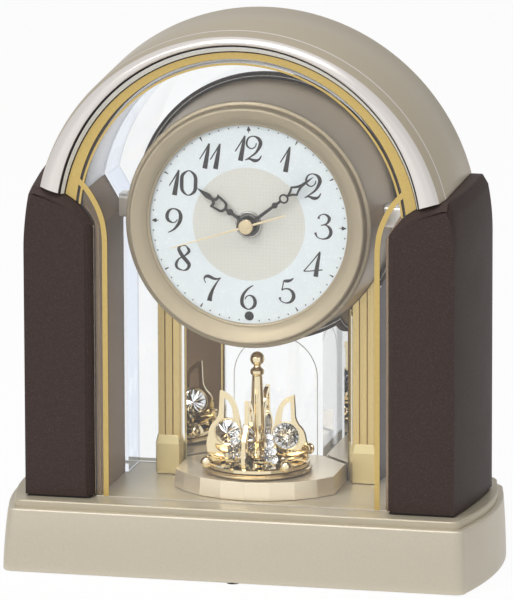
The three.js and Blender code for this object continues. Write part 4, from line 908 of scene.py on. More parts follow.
class CLOCK_OT_base(ClockOperator):
    """Flared hollow shell of the base, its glossy deck and its feet"""

    bl_idname = "clock.base"
    bl_label = "Base"

    def build(self, finish, case, drum, ornament):
        bottom, top, deck_top = low("base_shell").z, high("base_shell").z, high("base_deck").z
        edge = 0.9
        rings = [at_height(base_plan(case, 0.5, 0.5, 0.5), bottom), at_height(base_plan(case, 0, 0, 0), bottom + 0.5)]
        for k in range(1, 13):
            t = k / 12
            lean = t ** 1.6
            z = bottom + (top - edge - bottom) * t
            rings.append(at_height(base_plan(case, case.front_flare * lean, case.side_flare * lean, 0), z))
        for k in range(1, 5):
            turn = math.pi / 2 * k / 4
            inset = edge * (1 - math.cos(turn))
            plan = base_plan(case, case.front_flare + inset, case.side_flare + inset, inset)
            rings.append(at_height(plan, top - edge + edge * math.sin(turn)))
        shell = lofted("base_shell_fine", rings, finish.champagne)
        rim = case.base_rim
        cavity = prism("cavity", base_plan(case, rim, rim, rim), bottom - 1, top - 2.5, ())
        door_lo, door_hi = low("battery_cover"), high("battery_cover")
        switch_lo, switch_hi = low("ornament_switch"), high("ornament_switch")
        rear = case.base_rear
        door = box("door", door_lo.x - FIT, door_hi.x + FIT, rear - rim - 1, rear + 1, door_lo.z - FIT, door_hi.z + FIT)
        slot = box("slot", switch_lo.x - FIT, switch_hi.x + 3 + FIT, rear - rim - 1, rear + 1, switch_lo.z - FIT,
                   switch_hi.z + FIT)
        cut(shell, cavity, door, slot, spindle_hole(ornament, top - 4, top + 1))
        fitted(shell, "case", "champagne_plastic", "base_shell")

        ledge = [case.front_flare + case.ledge_front, case.side_flare + case.ledge_side, case.ledge_rear]
        round_off = case.deck_round
        rings = [at_height(base_plan(case, *ledge), top)]
        for k in range(6):
            turn = math.pi / 2 * k / 5
            inset = [part + round_off * (1 - math.cos(turn)) for part in ledge]
            rings.append(at_height(base_plan(case, *inset), deck_top - round_off + round_off * math.sin(turn)))
        deck = lofted("base_deck_fine", rings, finish.deck)
        cut(deck, spindle_hole(ornament, top - 1, deck_top + 1))
        fitted(deck, "case", "glossy_deck", "base_deck")

        for node in ("foot_front", "foot_rear_left", "foot_rear_right"):
            lo, hi = low(node), high(node)
            radius = (hi.x - lo.x) / 2
            profile = softened([(0, lo.z), (radius, lo.z, 0.25), (radius, hi.z), (0, hi.z)])
            foot = spun(node + "_fine", profile, finish.rubber, (lo.x + hi.x) / 2, (lo.y + hi.y) / 2 - DEPTH, 48)
            fitted(foot, "case", "rubber_foot", node)


def spindle_hole(ornament, bottom, top):
    return spun("spindle", [(0, bottom), (2 + FIT, bottom), (2 + FIT, top), (0, top)], (), 0, ornament.axis_y, 48)


# Pillars

def pillar_ring(case, y, bottom, grow=0.0, outward=0.0):
    """Front outline of the right pillar at depth y, grown by a margin: a round inner shoulder, a flat crown, a chamfer."""
    share = min(max((y - case.pillar_front) / (case.pillar_rear - case.pillar_front), 0), 1)
    bulge = (case.pillar_outer_rear - case.pillar_outer_front) * (1 - share) ** 2
    outer = case.pillar_outer_rear - bulge + grow + outward
    inner = case.pillar_inner - grow
    radius = case.pillar_round + grow
    centre = case.pillar_round_z + case.pillar_rise * share
    crown = centre + radius
    waist = crown - case.pillar_chamfer_drop
    outline = [(inner, bottom), (outer, bottom)]
    for k in range(9):
        outline.append((outer - case.pillar_waist * (k / 8) ** 2, waist - 22 * (1 - k / 8)))
    edge = outer - case.pillar_waist - case.pillar_chamfer
    outline += [(edge + 0.3, crown - 0.4), (edge - 0.3, crown)]
    end = math.asin((case.pillar_round_x - inner) / radius)
    steps = 28
    for k in range(steps + 1):
        turn = end * k / steps
        outline.append((case.pillar_round_x - radius * math.sin(turn), centre + radius * math.cos(turn)))
    return [(x, y, z) for x, z in outline]


def pillar_room(case):
    """Room of both pillars with clearance, for cutting what stands on them."""
    reach, deck = 12, high("base_deck").z
    front = case.pillar_front - reach
    depths = [front + (case.pillar_rear + reach - front) * k / 12 for k in range(13)]
    right = lofted("room_right", [pillar_ring(case, y, deck - reach, FIT, reach) for y in depths], ())
    return right, mirrored(right, "room_left")


class CLOCK_OT_pillars(ClockOperator):
    """Brown pillars with a ridged bevel round their front faces, on a black seat that paints the shade beneath them"""

    bl_idname = "clock.pillars"
    bl_label = "Pillars"

    def build(self, finish, case, drum, ornament):
        deck = high("base_deck").z
        bottom = deck + case.pillar_gap
        front, rear = case.pillar_front, case.pillar_rear
        width = case.pillar_bevel
        bevel = [(0, 1), (0.12, 0.95), (1.2, 0.66), (1.4, 0.66), (1.48, 0.6), (2.5, 0.34), (2.7, 0.34), (2.78, 0.28),
                 (3.6, 0.1), (4.2, 0)]
        rings = [pillar_ring(case, front + step, bottom, -width * share, width * share) for step, share in bevel]
        body = front + bevel[-1][0]
        depths = [body + (rear - 1.2 - body) * k / 14 for k in range(1, 15)]
        rings += [pillar_ring(case, y, bottom) for y in depths]
        rings += [pillar_ring(case, rear - 0.35, bottom, -0.35), pillar_ring(case, rear, bottom, -1.2)]
        right = lofted("pillar_right_fine", rings, finish.brown, 24)
        wall = 3
        hollow = [pillar_ring(case, y, deck - 1, -wall - 2) for y in
                  [body + wall + (rear - body - 2 * wall) * k / 6 for k in range(7)]]
        beside_lining = alcove_outline(drum, 0.04 - drum.lining_wall - FIT, deck)
        alcove = slab("alcove", beside_lining, low("side_lining_right").y - DEPTH - 0.1, rear + 1, ())
        cut(right, lofted("hollow", hollow, ()), alcove, sharp=24)
        # The black seat under each pillar is painted shade: it darkens the gap below the pillar's wall.
        seat_in = 1.1
        seat = [pillar_ring(case, front + seat_in + (rear - front - 2 * seat_in) * k / 8, deck, -seat_in)
                for k in range(9)]
        outer = [(ring[1][0], ring[0][1]) for ring in seat]
        inner = [(ring[0][0], ring[0][1]) for ring in reversed(seat)]
        foot = prism("pillar_shade_seat_right", outer + inner, deck, bottom, finish.groove)
        for piece, node in ((right, "pillar_right"), (mirrored(right, "pillar_left_fine"), "pillar_left")):
            fitted(piece, "case", "brown_paint", node)
        for piece in (foot, mirrored(foot, "pillar_shade_seat_left")):
            fitted(piece, "case", "black_plastic")


# Arch

def above_pillars(case, piece, spring=True, sharp=30):
    """Cuts a full ring down to the arch that stands on the pillars."""
    reach = 2 * case.arch_radius
    tools = list(pillar_room(case))
    if spring:
        tools.insert(0, box("below", -reach, reach, -reach, reach, -reach, case.arch_centre - 1))
    return cut(piece, *tools, sharp=sharp)


def raised_circle(radius, lift, turn):
    """From the arch centre to a circle whose own centre is lifted, in the direction of turn from the top."""
    return lift * math.cos(turn) + math.sqrt(radius ** 2 - (lift * math.sin(turn)) ** 2)


class CLOCK_OT_arch(ClockOperator):
    """Barrel of the arch, its dark flange behind the glass and the front frame with its crescent of pearl"""

    bl_idname = "clock.arch"
    bl_label = "Arch"

    def build(self, finish, case, drum, ornament):
        centre, outer, rear, parting = case.arch_centre, case.arch_radius, case.arch_rear, case.parting
        inside = outer - case.arch_wall
        start = case.arch_front_radius
        profile = [(start - 0.3, parting + 0.1), (start + 0.05, parting + 0.85), (outer, rear - 1.2),
                   (outer - 0.35, rear - 0.35), (outer - 1.2, rear), (inside, rear), (inside, parting + 0.1)]
        # The first side of the profile, a small chamfer at the parting line, takes the pearl finish as a painted
        # highlight.
        barrel = turned("arch_barrel", profile, [finish.barrel, finish.pearl], centre, steps=192,
                        zones=[1, 0, 0, 0, 0, 0, 0])
        fitted(above_pillars(case, barrel), "case", "champagne_plastic", "arch_shell")

        front = case.glass_front + 1.5 + FIT
        flange = slab("arch_flange", circle(inside - 0.1, 0, centre, 160), front, front + 2, finish.brown)
        cut(flange, slab("hole", circle(75.15, 0, 167.15, 160), front - 1, front + 3, ()))
        fitted(above_pillars(case, flange), "case", "black_plastic")

        # Zone 2 paints the frame's groove and its hidden back near-black as shade.
        rim = turned("arch_front_rim", lambda turn: self.rim_section(case, turn),
                     [finish.pearl, finish.barrel, finish.groove, finish.reveal, finish.brown], centre, steps=192,
                     zones=[2, 2, 2, 1] + [0] * 13 + [4, 2, 2, 3, 3, 3, 3, 4])
        fitted(above_pillars(case, rim), "case", "satin_rim", "arch_front_frame")

    def rim_section(self, case, turn):
        """Section of the front frame: skirt, rounded pearl rim, a groove painted near-black as shade, and silver lip.
        """
        edge = raised_circle(case.opening_radius, case.opening_lift, turn)
        lip = raised_circle(case.lip_radius, case.lip_lift, turn)
        back, seat = case.glass_front - FIT, case.arch_radius - case.arch_wall - 0.2
        crown = case.rim_front
        section = [(lip, back), (seat, back), (seat, case.parting - 0.1), (case.arch_front_radius - 0.1, case.parting - 0.1)]
        for k in range(13):
            t = k / 12
            away = (1 - t / 0.62) ** 2 * (case.rim_edge - crown) if t < 0.62 else ((t - 0.62) / 0.38) ** 2 * 1.1
            section.append((case.rim_radius + (edge - case.rim_radius) * t, crown + away))
        middle = (edge - 1.1 + lip + 0.35) / 2
        section += [(edge - 0.12, crown + 1.6), (edge - 0.55, crown + 2.0), (edge - 0.6, crown + 3.2),
                    (edge - 1.0, crown + 3.2), (edge - 1.1, crown + 2.4), (middle, crown + 3.6), (middle - 0.1, crown + 3.9),
                    (lip + 0.35, crown + 5.2)]
        return section


class CLOCK_OT_glass_print(ClockOperator):
    """Gold lines printed on the front glass: a crescent band, a thin arch and a pair of gothic lines"""

    bl_idname = "clock.glass_print"
    bl_label = "Glass print"

    def build(self, finish, case, drum, ornament):
        face = case.glass_front
        span = math.radians(84)
        steps = 96
        band, thin = [], []
        for k in range(steps + 1):
            turn = -span + 2 * span * k / steps
            outer = Vector((83.4 * math.sin(turn), 161.7 + 83.4 * math.cos(turn)))
            inner = Vector((78.2 * math.sin(turn), 163.9 + 78.2 * math.cos(turn)))
            middle = (outer + inner) / 2
            band.append((middle.x, middle.y, (outer - inner).length))
            thin.append((76.2 * math.sin(turn), 163.5 + 76.2 * math.cos(turn), 1.0))
        deck = high("base_deck").z + 0.5
        curve = flowing([(77.0, 183.2, 2.3), (75.4, 181.5, 2.45), (72.4, 178.3, 2.45), (69.8, 174.4, 2.45),
                         (67.7, 170.5, 2.45), (65.9, 166, 2.45), (64.8, 161.5, 2.45), (64.2, 156, 2.45), (64.1, 152, 2.45)], 8)
        curve.append((64.1, deck, 2.45))
        pieces = [("print_band", [band]), ("print_thin_arch", [thin]),
                  ("print_gothic_right", [curve]), ("print_gothic_left", [[(-x, z, w) for x, z, w in curve]])]
        for number, (name, paths) in enumerate(pieces):
            lift = 0.05 + 0.02 * number
            piece = ribbons(name, paths, face - lift, face - 0.01, finish.print_gold)
            above_pillars(case, piece, spring=False)
            fitted(piece, "case", "gold_hand")
        # A pearl line along the pane's foot is a painted highlight of the glass's bottom edge.
        half = case.pillar_inner - 1
        line = ribbons("glass_foot_highlight", [[(-half, deck, 0.5), (half, deck, 0.5)]], face - 0.03, face - 0.01, finish.pearl)
        fitted(line, "case", "satin_rim")


# Alcove

def alcove_outline(drum, inset, bottom):
    """Outline of the alcove: upright sides, slanted shoulders and an arch, drawn in by inset."""
    half, radius = drum.alcove_half - inset, drum.lining_radius - inset
    rise = drum.shoulder_high - drum.lining_centre
    shoulder = math.sqrt(drum.lining_radius ** 2 - rise ** 2) - inset
    start = math.asin(rise / radius)
    edge = [(half, bottom), (half, drum.shoulder_low), (shoulder, drum.shoulder_high)]
    for k in range(1, 49):
        turn = start + (math.pi / 2 - start) * k / 48
        edge.append((radius * math.cos(turn), drum.lining_centre + radius * math.sin(turn)))
    return edge + [(-x, z) for x, z in reversed(edge[:-1])]


class CLOCK_OT_alcove(ClockOperator):
    """Round lining of the alcove, its rear plate and the clear cover behind it"""

    bl_idname = "clock.alcove"
    bl_label = "Alcove"

    def build(self, finish, case, drum, ornament):
        centre, radius = drum.lining_centre, drum.lining_radius
        outside = radius + drum.lining_wall
        front, rear = case.glass_front + 1.5 + FIT + 2.1, drum.lining_rear
        profile = softened([(radius, front, 0.3), (outside, front), (outside, rear), (radius, rear, 0.3)])
        ring = turned("arch_lining_fine", profile, finish.silver, centre, steps=192)
        reach = 2 * case.arch_radius
        below = box("below", -reach, reach, -reach, reach, -reach, drum.shoulder_high)
        cut(ring, below, *pillar_room(case))
        fitted(ring, "case", "silver_lining", "arch_lining")

        plate = slab("arch_back_plate", circle(case.arch_radius - case.arch_wall - FIT, 0, case.arch_centre, 160),
                     rear - 2, rear, finish.champagne)
        hole = rod("hole", outside + 0.05, 0, centre, rear - 3, rear + 1)
        below = box("below", -reach, reach, -reach, reach, -reach, drum.shoulder_high)
        cut(plate, hole, below, *pillar_room(case))
        fitted(plate, "case", "champagne_plastic")

        standing = high("base_deck").z + FIT
        wall = drum.cover_wall
        shell = slab("clear_cover_fine", alcove_outline(drum, 0, standing), rear + FIT, drum.cover_rear, finish.cover)
        room = slab("room", alcove_outline(drum, wall, standing - 1), rear - 1, drum.cover_rear - wall, ())
        hole = rod("hole", drum.cap_radius + 2 * FIT, 0, drum.dial_height, drum.cover_rear - wall - 1, drum.cover_rear + 1)
        cut(shell, room, hole)
        shell.data.materials.append(finish.cover_wall)
        for face in shell.data.polygons:
            face.material_index = 1 if abs(face.normal.y) < 0.5 or face.center.y / MM - DEPTH < rear + 1 else 0
        fitted(shell, "case", "clear_cover", "rear_clear_cover")

        inner = drum.cover_rear - wall
        line = [(-20, standing, 0.5), (-20, 78, 0.5)]
        line += [(-20 * math.cos(t), 78 + 19.6 * math.sin(t), 0.5) for t in [math.pi / 2 * k / 14 for k in range(1, 15)]]
        line += [(-x, z, w) for x, z, w in reversed(line[:-1])]
        engraved = ribbons("engraved_arch", [line], inner - 0.06, inner - 0.01, finish.reveal)
        fitted(engraved, "case", "clear_cover")


# Drum and dial

def drum_outline(drum, grow, steps=24):
    """Side outline of the drum from its front lip to its rear, as (radius, y)."""
    front = drum.dial_face + FIT + 0.4
    start = (drum.drum_front + grow, front)
    control = (drum.drum_middle + grow, (front + drum.drum_rear) / 2)
    return [start] + bend(start, control, (drum.drum_rear_radius + grow, drum.drum_rear), steps)


class CLOCK_OT_drum(ClockOperator):
    """Flared drum with its bezel and its brown rear cover"""

    bl_idname = "clock.drum"
    bl_label = "Drum"

    def build(self, finish, case, drum, ornament):
        centre, face = drum.dial_height, drum.dial_face
        outline = drum_outline(drum, 0)
        ledge = face + 1 + FIT
        seat = drum.dial_radius + FIT
        inside = list(reversed(drum_outline(drum, -2)[1:]))
        profile = outline + inside + [(drum.drum_front - 2, ledge + 2), (50, ledge + 2), (50, ledge), (seat, ledge),
                                      (seat, outline[0][1])]
        fitted(turned("drum_body_fine", profile, finish.drum, centre, steps=192), "case", "champagne_drum", "drum_body")

        back = outline[0][1] - FIT
        outer, inner = drum.bezel_radius, drum.bezel_inner
        crown = face - 6.5
        profile = softened([
            (outer, back, 0.3), (outer, back - 2.2, 0.7), (outer - 1.7, back - 2.8, 0.4), (outer - 1.9, back - 2.5, 0.1),
            (outer - 2.1, back - 2.9, 0.2), (outer - 2.4, crown + 0.9, 0.7), (outer - 3.4, crown, 1.0),
            (inner + 3.4, crown + 1.9, 2.5), (inner + 1.2, face - 2.6, 0.6), (inner + 0.95, face - 2.0, 0.2),
            (inner + 0.75, face - 2.2, 0.15), (inner, face - 1.7, 0.3),
            (inner, face - FIT), (seat, face - FIT), (seat, back)])
        bezel = turned("bezel_fine", profile, finish.bezel, centre, steps=192)
        fitted(bezel, "case", "satin_bezel", "bezel_ring")

        front = drum.drum_rear + FIT
        rear = front + 3.1
        end = high("drum_rear_cover").y - DEPTH
        rim, cap = drum.rim_radius, drum.cap_radius
        profile = softened([
            (rim, front, 0.3), (rim, front + 1.1, 0.15), (rim - 0.25, front + 1.3, 0.1), (rim - 0.25, front + 1.6, 0.1),
            (rim, front + 1.8, 0.15), (rim, rear - 0.1, 0.6), (rim - 1.2, rear + 0.2, 0.3), (cap + 0.5, rear + 2, 1.0),
            (cap, end, 1.6), (cap - 7, end, 0.3), (cap - 7.4, end - 0.4, 0.2), (cap - 8.2, end - 0.4, 0.2),
            (cap - 8.6, end, 0.3), (0, end), (0, end - 2), (cap - 2, end - 2), (cap - 2, rear), (rim - 3.6, front + 1),
            (rim - 3.6, front), (rim - 2.0, front), (rim - 1.85, front - 0.2), (rim - 1.5, front - 0.2)])
        # The two faces of the small lip at the rim's front take the near-white reveal finish as a painted edge
        # highlight.
        zones = [0] * (len(profile) - 3) + [1, 1, 0]
        cover = turned("drum_rear_cover_fine", profile, [finish.brown, finish.reveal], centre, steps=160, zones=zones)
        holes = []
        for node in ("set_button", "receive_button"):
            lo, hi = low(node), high(node)
            holes.append(rod("hole", 3 + FIT, (lo.x + hi.x) / 2, (lo.z + hi.z) / 2, end - 4, end + 1))
        fitted(cut(cover, *holes), "case", "brown_paint", "drum_rear_cover")


# Strokes of the numerals as (x, z, width) in hundredths of their height; each run is one smooth stroke.
NUMERALS = {
    "0": [[(-27, 50, 13), (-23, 80, 11), (2, 98, 4), (25, 80, 11), (28, 50, 13), (23, 18, 11), (-2, 2, 4), (-24, 20, 11),
           (-27, 50, 13)]],
    "1": [[(-20, 36, 4), (0, 68, 4.5), (18, 98, 5)], [(18, 99, 6), (10, 55, 13), (0, 0, 17)]],
    "2": [[(11, 72, 3.5), (7, 58, 4), (-8, 49, 4), (-24, 58, 6), (-27, 74, 7), (-18, 92, 5), (1, 98, 4), (21, 88, 11),
           (27, 68, 13), (12, 38, 8), (-11, 18, 5), (-33, 4, 3)],
          [(-33, 4, 3), (-17, 9, 6), (4, 3, 11), (21, 8, 7), (31, 24, 3)]],
    "3": [[(-18, 79, 9), (-14, 91, 4), (3, 98, 4), (19, 91, 9), (24, 78, 11), (13, 61, 6), (-9, 54, 3)],
          [(-9, 54, 3), (9, 56, 4), (25, 45, 10), (30, 27, 12), (21, 9, 9), (-1, 1, 4), (-23, 8, 4), (-31, 25, 9)]],
    "4": [[(10, 0, 16), (17, 48, 13), (27, 95, 6)], [(28, 99, 5), (-4, 59, 4), (-37, 20, 4)],
          [(-37, 20, 4), (-16, 21, 3.5), (10, 25, 4), (37, 28, 4)]],
    "5": [[(27, 100, 3), (16, 91, 8), (0, 87, 11), (-12, 88, 6)], [(-11, 89, 4), (-14, 73, 4), (-19, 50, 4)],
          [(-19, 50, 4), (-9, 56, 4), (9, 56, 6), (24, 43, 11), (27, 24, 13), (16, 7, 9), (-4, 1, 4), (-23, 9, 4),
           (-27, 22, 9)]],
    "6": [[(21, 99, 3), (3, 87, 6), (-15, 67, 9), (-24, 43, 12), (-21, 19, 11), (0, 4, 4), (21, 14, 10), (28, 33, 12),
           (21, 52, 9), (6, 59, 4), (-7, 52, 4), (-12, 42, 3)]],
    "7": [[(-23, 70, 3), (-29, 84, 4), (-24, 95, 8), (-11, 97, 11), (8, 89, 9), (23, 88, 6), (36, 93, 3)],
          [(36, 93, 3), (23, 77, 5), (6, 48, 9), (-5, 20, 14), (-9, 0, 17)]],
    "8": [[(13, 98, 4), (-3, 99, 4), (-16, 90, 9), (-14, 77, 12), (0, 55, 13), (17, 36, 13), (24, 23, 12), (16, 7, 8),
           (-1, 2, 4), (-22, 10, 8), (-27, 26, 10), (-17, 45, 6), (0, 55, 4), (17, 68, 8), (24, 81, 10), (13, 97, 4)]],
    "9": [[(14, 54, 3), (9, 45, 4), (-4, 40, 4), (-22, 49, 10), (-27, 66, 12), (-19, 86, 9), (0, 95, 4), (20, 86, 9),
           (27, 66, 13), (22, 43, 12), (6, 20, 8), (-9, 8, 5), (-23, 1, 3)]],
}
DIGIT_STEP = {"10": 56, "11": 42, "12": 52}
# Numerals set off the common place, sideways and up
NUDGE = {2: (-0.5, 1.4), 5: (0, 0.4), 6: (-0.5, 1.0), 7: (0, -0.2), 9: (0, 0.4), 10: (-1.1, 0.4), 12: (-0.8, 0.1)}


def numeral_paths(text, x, z, height):
    unit = height / 100
    step = DIGIT_STEP.get(text, 0)
    paths = []
    for k, digit in enumerate(text):
        left = x + (k - (len(text) - 1) / 2) * step * unit
        for run in NUMERALS[digit]:
            paths.append([(left + u * unit, z + (v - 50) * unit, 1.14 * w * unit) for u, v, w in flowing(run)])
    return paths


def round_dot(x, z, radius):
    """A round printed dot as a short thick stroke."""
    rows = [math.cos(math.pi * k / 10) for k in range(11)]
    return [(x, z - radius * row, max(2 * radius * math.sqrt(1 - row * row), radius * 0.05)) for row in rows]


class CLOCK_OT_dial(ClockOperator):
    """Dial with its numerals, minute dots, hour wedges, sensor window and nut"""

    bl_idname = "clock.dial"
    bl_label = "Dial"

    def build(self, finish, case, drum, ornament):
        centre, face = drum.dial_height, drum.dial_face
        plate = turned("dial_fine", [(5.3, face), (drum.dial_radius, face), (drum.dial_radius, face + 1), (5.3, face + 1)],
                       finish.dial, centre, steps=160)
        sensor_lo, sensor_hi = low("light_sensor_window"), high("light_sensor_window")
        sensor_z, sensor_r = (sensor_lo.z + sensor_hi.z) / 2, (sensor_hi.x - sensor_lo.x) / 2
        cut(plate, rod("hole", sensor_r + FIT, 0, sensor_z, face - 1, face + 2))
        fitted(plate, "case", "dial_white", "dial_plate")
        window = softened([(sensor_r, face - 0.1, 0.3), (sensor_r, face + 1), (0, face + 1), (0, face - 0.16)])
        fitted(turned("sensor_window_fine", window, finish.black, sensor_z, steps=48), "case", "black_plastic",
               "light_sensor_window")
        radius = (high("dial_nut").x - low("dial_nut").x) / 2
        nut = softened([(5.3, face - 1.3, 0.2), (radius, face - 1.3, 0.4), (radius, face - FIT), (5.3, face - FIT)])
        fitted(turned("dial_nut_fine", nut, finish.chrome, centre, steps=64), "case", "steel", "dial_nut")

        rear = face - 0.005
        front = rear - drum.print_thickness
        numerals, marks = [], []
        for hour in range(1, 13):
            turn = math.radians(30 * hour)
            aside, lift = NUDGE.get(hour, (-0.5, 0.5))
            x, z = aside + drum.numeral_radius * math.sin(turn), centre + lift + drum.numeral_radius * math.cos(turn)
            numerals += numeral_paths(str(hour), x, z, drum.numeral_height)
        fitted(ribbons("dial_numerals", numerals, front, rear, finish.ink), "case", "black_hand")
        for minute in range(60):
            if minute == 30:
                continue
            turn = math.radians(6 * minute)
            way = Vector((math.sin(turn), math.cos(turn)))
            if minute % 15 == 0:
                marks.append([(way.x * r, centre + way.y * r, w) for r, w in ((42.6, 0.25), (43.6, 0.3), (43.9, 2.0), (45.9, 0.2))])
            elif minute % 5 == 0:
                marks.append([(way.x * r, centre + way.y * r, w) for r, w in ((43.9, 0.3), (45.9, 0.85))])
            else:
                marks.append(round_dot(way.x * drum.minute_radius, centre + way.y * drum.minute_radius, 0.33))
        fitted(ribbons("dial_minute_marks", marks, front, rear, finish.ink), "case", "black_hand")


# Hands

def hand_plate(name, outlines, bearing, y, thickness, finish, drum):
    """Flat plate from closed outlines of (across, along) points, turned clockwise from twelve. Inner outlines are holes."""
    curve = bpy.data.curves.new(name, "CURVE")
    curve.dimensions = "2D"
    curve.fill_mode = "BOTH"
    edge = 0.12
    curve.extrude = (thickness / 2 - edge) * MM
    curve.bevel_depth = edge * MM
    curve.bevel_resolution = 1
    curve.offset = -edge * MM
    for outline in outlines:
        spline = curve.splines.new("POLY")
        spline.points.add(len(outline) - 1)
        spline.use_cyclic_u = True
        for point, (across, along) in zip(spline.points, outline):
            point.co = (across * MM, along * MM, 0, 1)
    drawn = bpy.data.objects.new(name, curve)
    bpy.context.scene.collection.objects.link(drawn)
    mesh = bpy.data.meshes.new_from_object(drawn.evaluated_get(bpy.context.evaluated_depsgraph_get()))
    bpy.data.objects.remove(drawn)
    upright = Matrix.Rotation(math.pi / 2, 4, "X")
    turn = Matrix.Rotation(bearing, 4, "Y")
    mesh.transform(Matrix.Translation(place(0, y + thickness / 2, drum.dial_height)) @ turn @ upright)
    piece = bpy.data.objects.new(name, mesh)
    bpy.context.scene.collection.objects.link(piece)
    mesh.materials.clear()
    mesh.materials.append(finish)
    return shaded(piece)


def both_sides(right):
    return right + [(-u, v) for u, v in reversed(right) if u > 1e-6]


def hub_arc(radius, stem):
    """Points of a hub's outline from its foot round to where the stem leaves it."""
    end = math.pi - math.asin(stem / radius)
    return [(radius * math.sin(end * k / 24), -radius * math.cos(end * k / 24)) for k in range(25)]


def bead_arc(centre, radius, stem):
    start = math.asin(stem / radius)
    return [(radius * math.sin(start + (math.pi - 2 * start) * k / 12), centre - radius * math.cos(
        start + (math.pi - 2 * start) * k / 12)) for k in range(13)]


class CLOCK_OT_hands(ClockOperator):
    """Openwork hour and minute hands and the pale gold second hand with its cap"""

    bl_idname = "clock.hands"
    bl_label = "Hands"

    def build(self, finish, case, drum, ornament):
        thick = drum.hand_thickness
        right = hub_arc(4.5, 0.8) + bead_arc(10.2, 1.55, 0.75) + [(0.75, 12.4)]
        right += bend((0.75, 12.4), (3.0, 12.8), (3.1, 15.6), 8) + [(3.5, 19.6)]
        right += bend((3.5, 19.6), (1.4, 18.8), (0.7, 20.4), 6) + bend((0.7, 20.4), (1.6, 22.6), (1.1, 24.4), 8)
        right += bend((1.1, 24.4), (0.45, 27.0), (0, 29.4), 4)
        hole = bend((0, 13.6), (2.0, 13.7), (2.05, 15.8), 8) + [(2.3, 18.1)] + bend((2.3, 18.1), (0.9, 17.7), (0, 18.9), 6)
        outlines = [both_sides(right), both_sides([(0, 13.6)] + hole), circle(3.5, 0, 0, 48)]
        hour = hand_plate("hour_hand_fine", outlines, math.radians(304.4), low("hour_hand").y - DEPTH, thick,
                          finish.hand_black, drum)
        fitted(hour, "hour", "black_hand", "hour_hand")

        right = hub_arc(3.4, 0.85) + bead_arc(16.6, 1.4, 0.7) + bead_arc(22.0, 2.3, 0.6)
        right += bend((0.6, 24.3), (0.9, 26.0), (2.7, 28.2), 6) + bend((2.7, 28.2), (1.0, 30.6), (0.75, 33.0), 6)
        right += bend((0.75, 33.0), (0.6, 36.5), (0, 40), 4)
        hole = [(0, 26.0)] + bend((0, 26.0), (0.5, 27.2), (1.55, 28.25), 5) + bend((1.55, 28.25), (0.6, 29.6), (0, 31.0), 5)
        outlines = [both_sides(right), both_sides(hole), circle(1.45, 0, 22.0, 32), circle(2.3, 0, 0, 48)]
        minute = hand_plate("minute_hand_fine", outlines, math.radians(52.2), low("minute_hand").y - DEPTH, thick,
                            finish.hand_black, drum)
        fitted(minute, "minute", "black_hand", "minute_hand")

        blade = [(0.25, -19.5), (0.5, -5), (0.42, 0), (0.2, 37.6), (-0.2, 37.6), (-0.42, 0), (-0.5, -5), (-0.25, -19.5)]
        second_y = high("second_hand").y - DEPTH - 2.2 + 1.9
        second = hand_plate("second_hand_fine", [blade], math.radians(252), second_y - thick, thick, finish.second, drum)
        fitted(second, "second", "gold_hand", "second_hand")
        front = low("second_hand").y - DEPTH
        cap = [(0, front), (3.2, front + 0.55), (3.5, front + 0.85), (3.5, second_y - 0.1), (0, second_y - 0.1)]
        fitted(turned("second_hand_cap", cap, finish.cap, drum.dial_height, steps=18, sharp=1), "second", "gold_hand")


# Furniture of the alcove

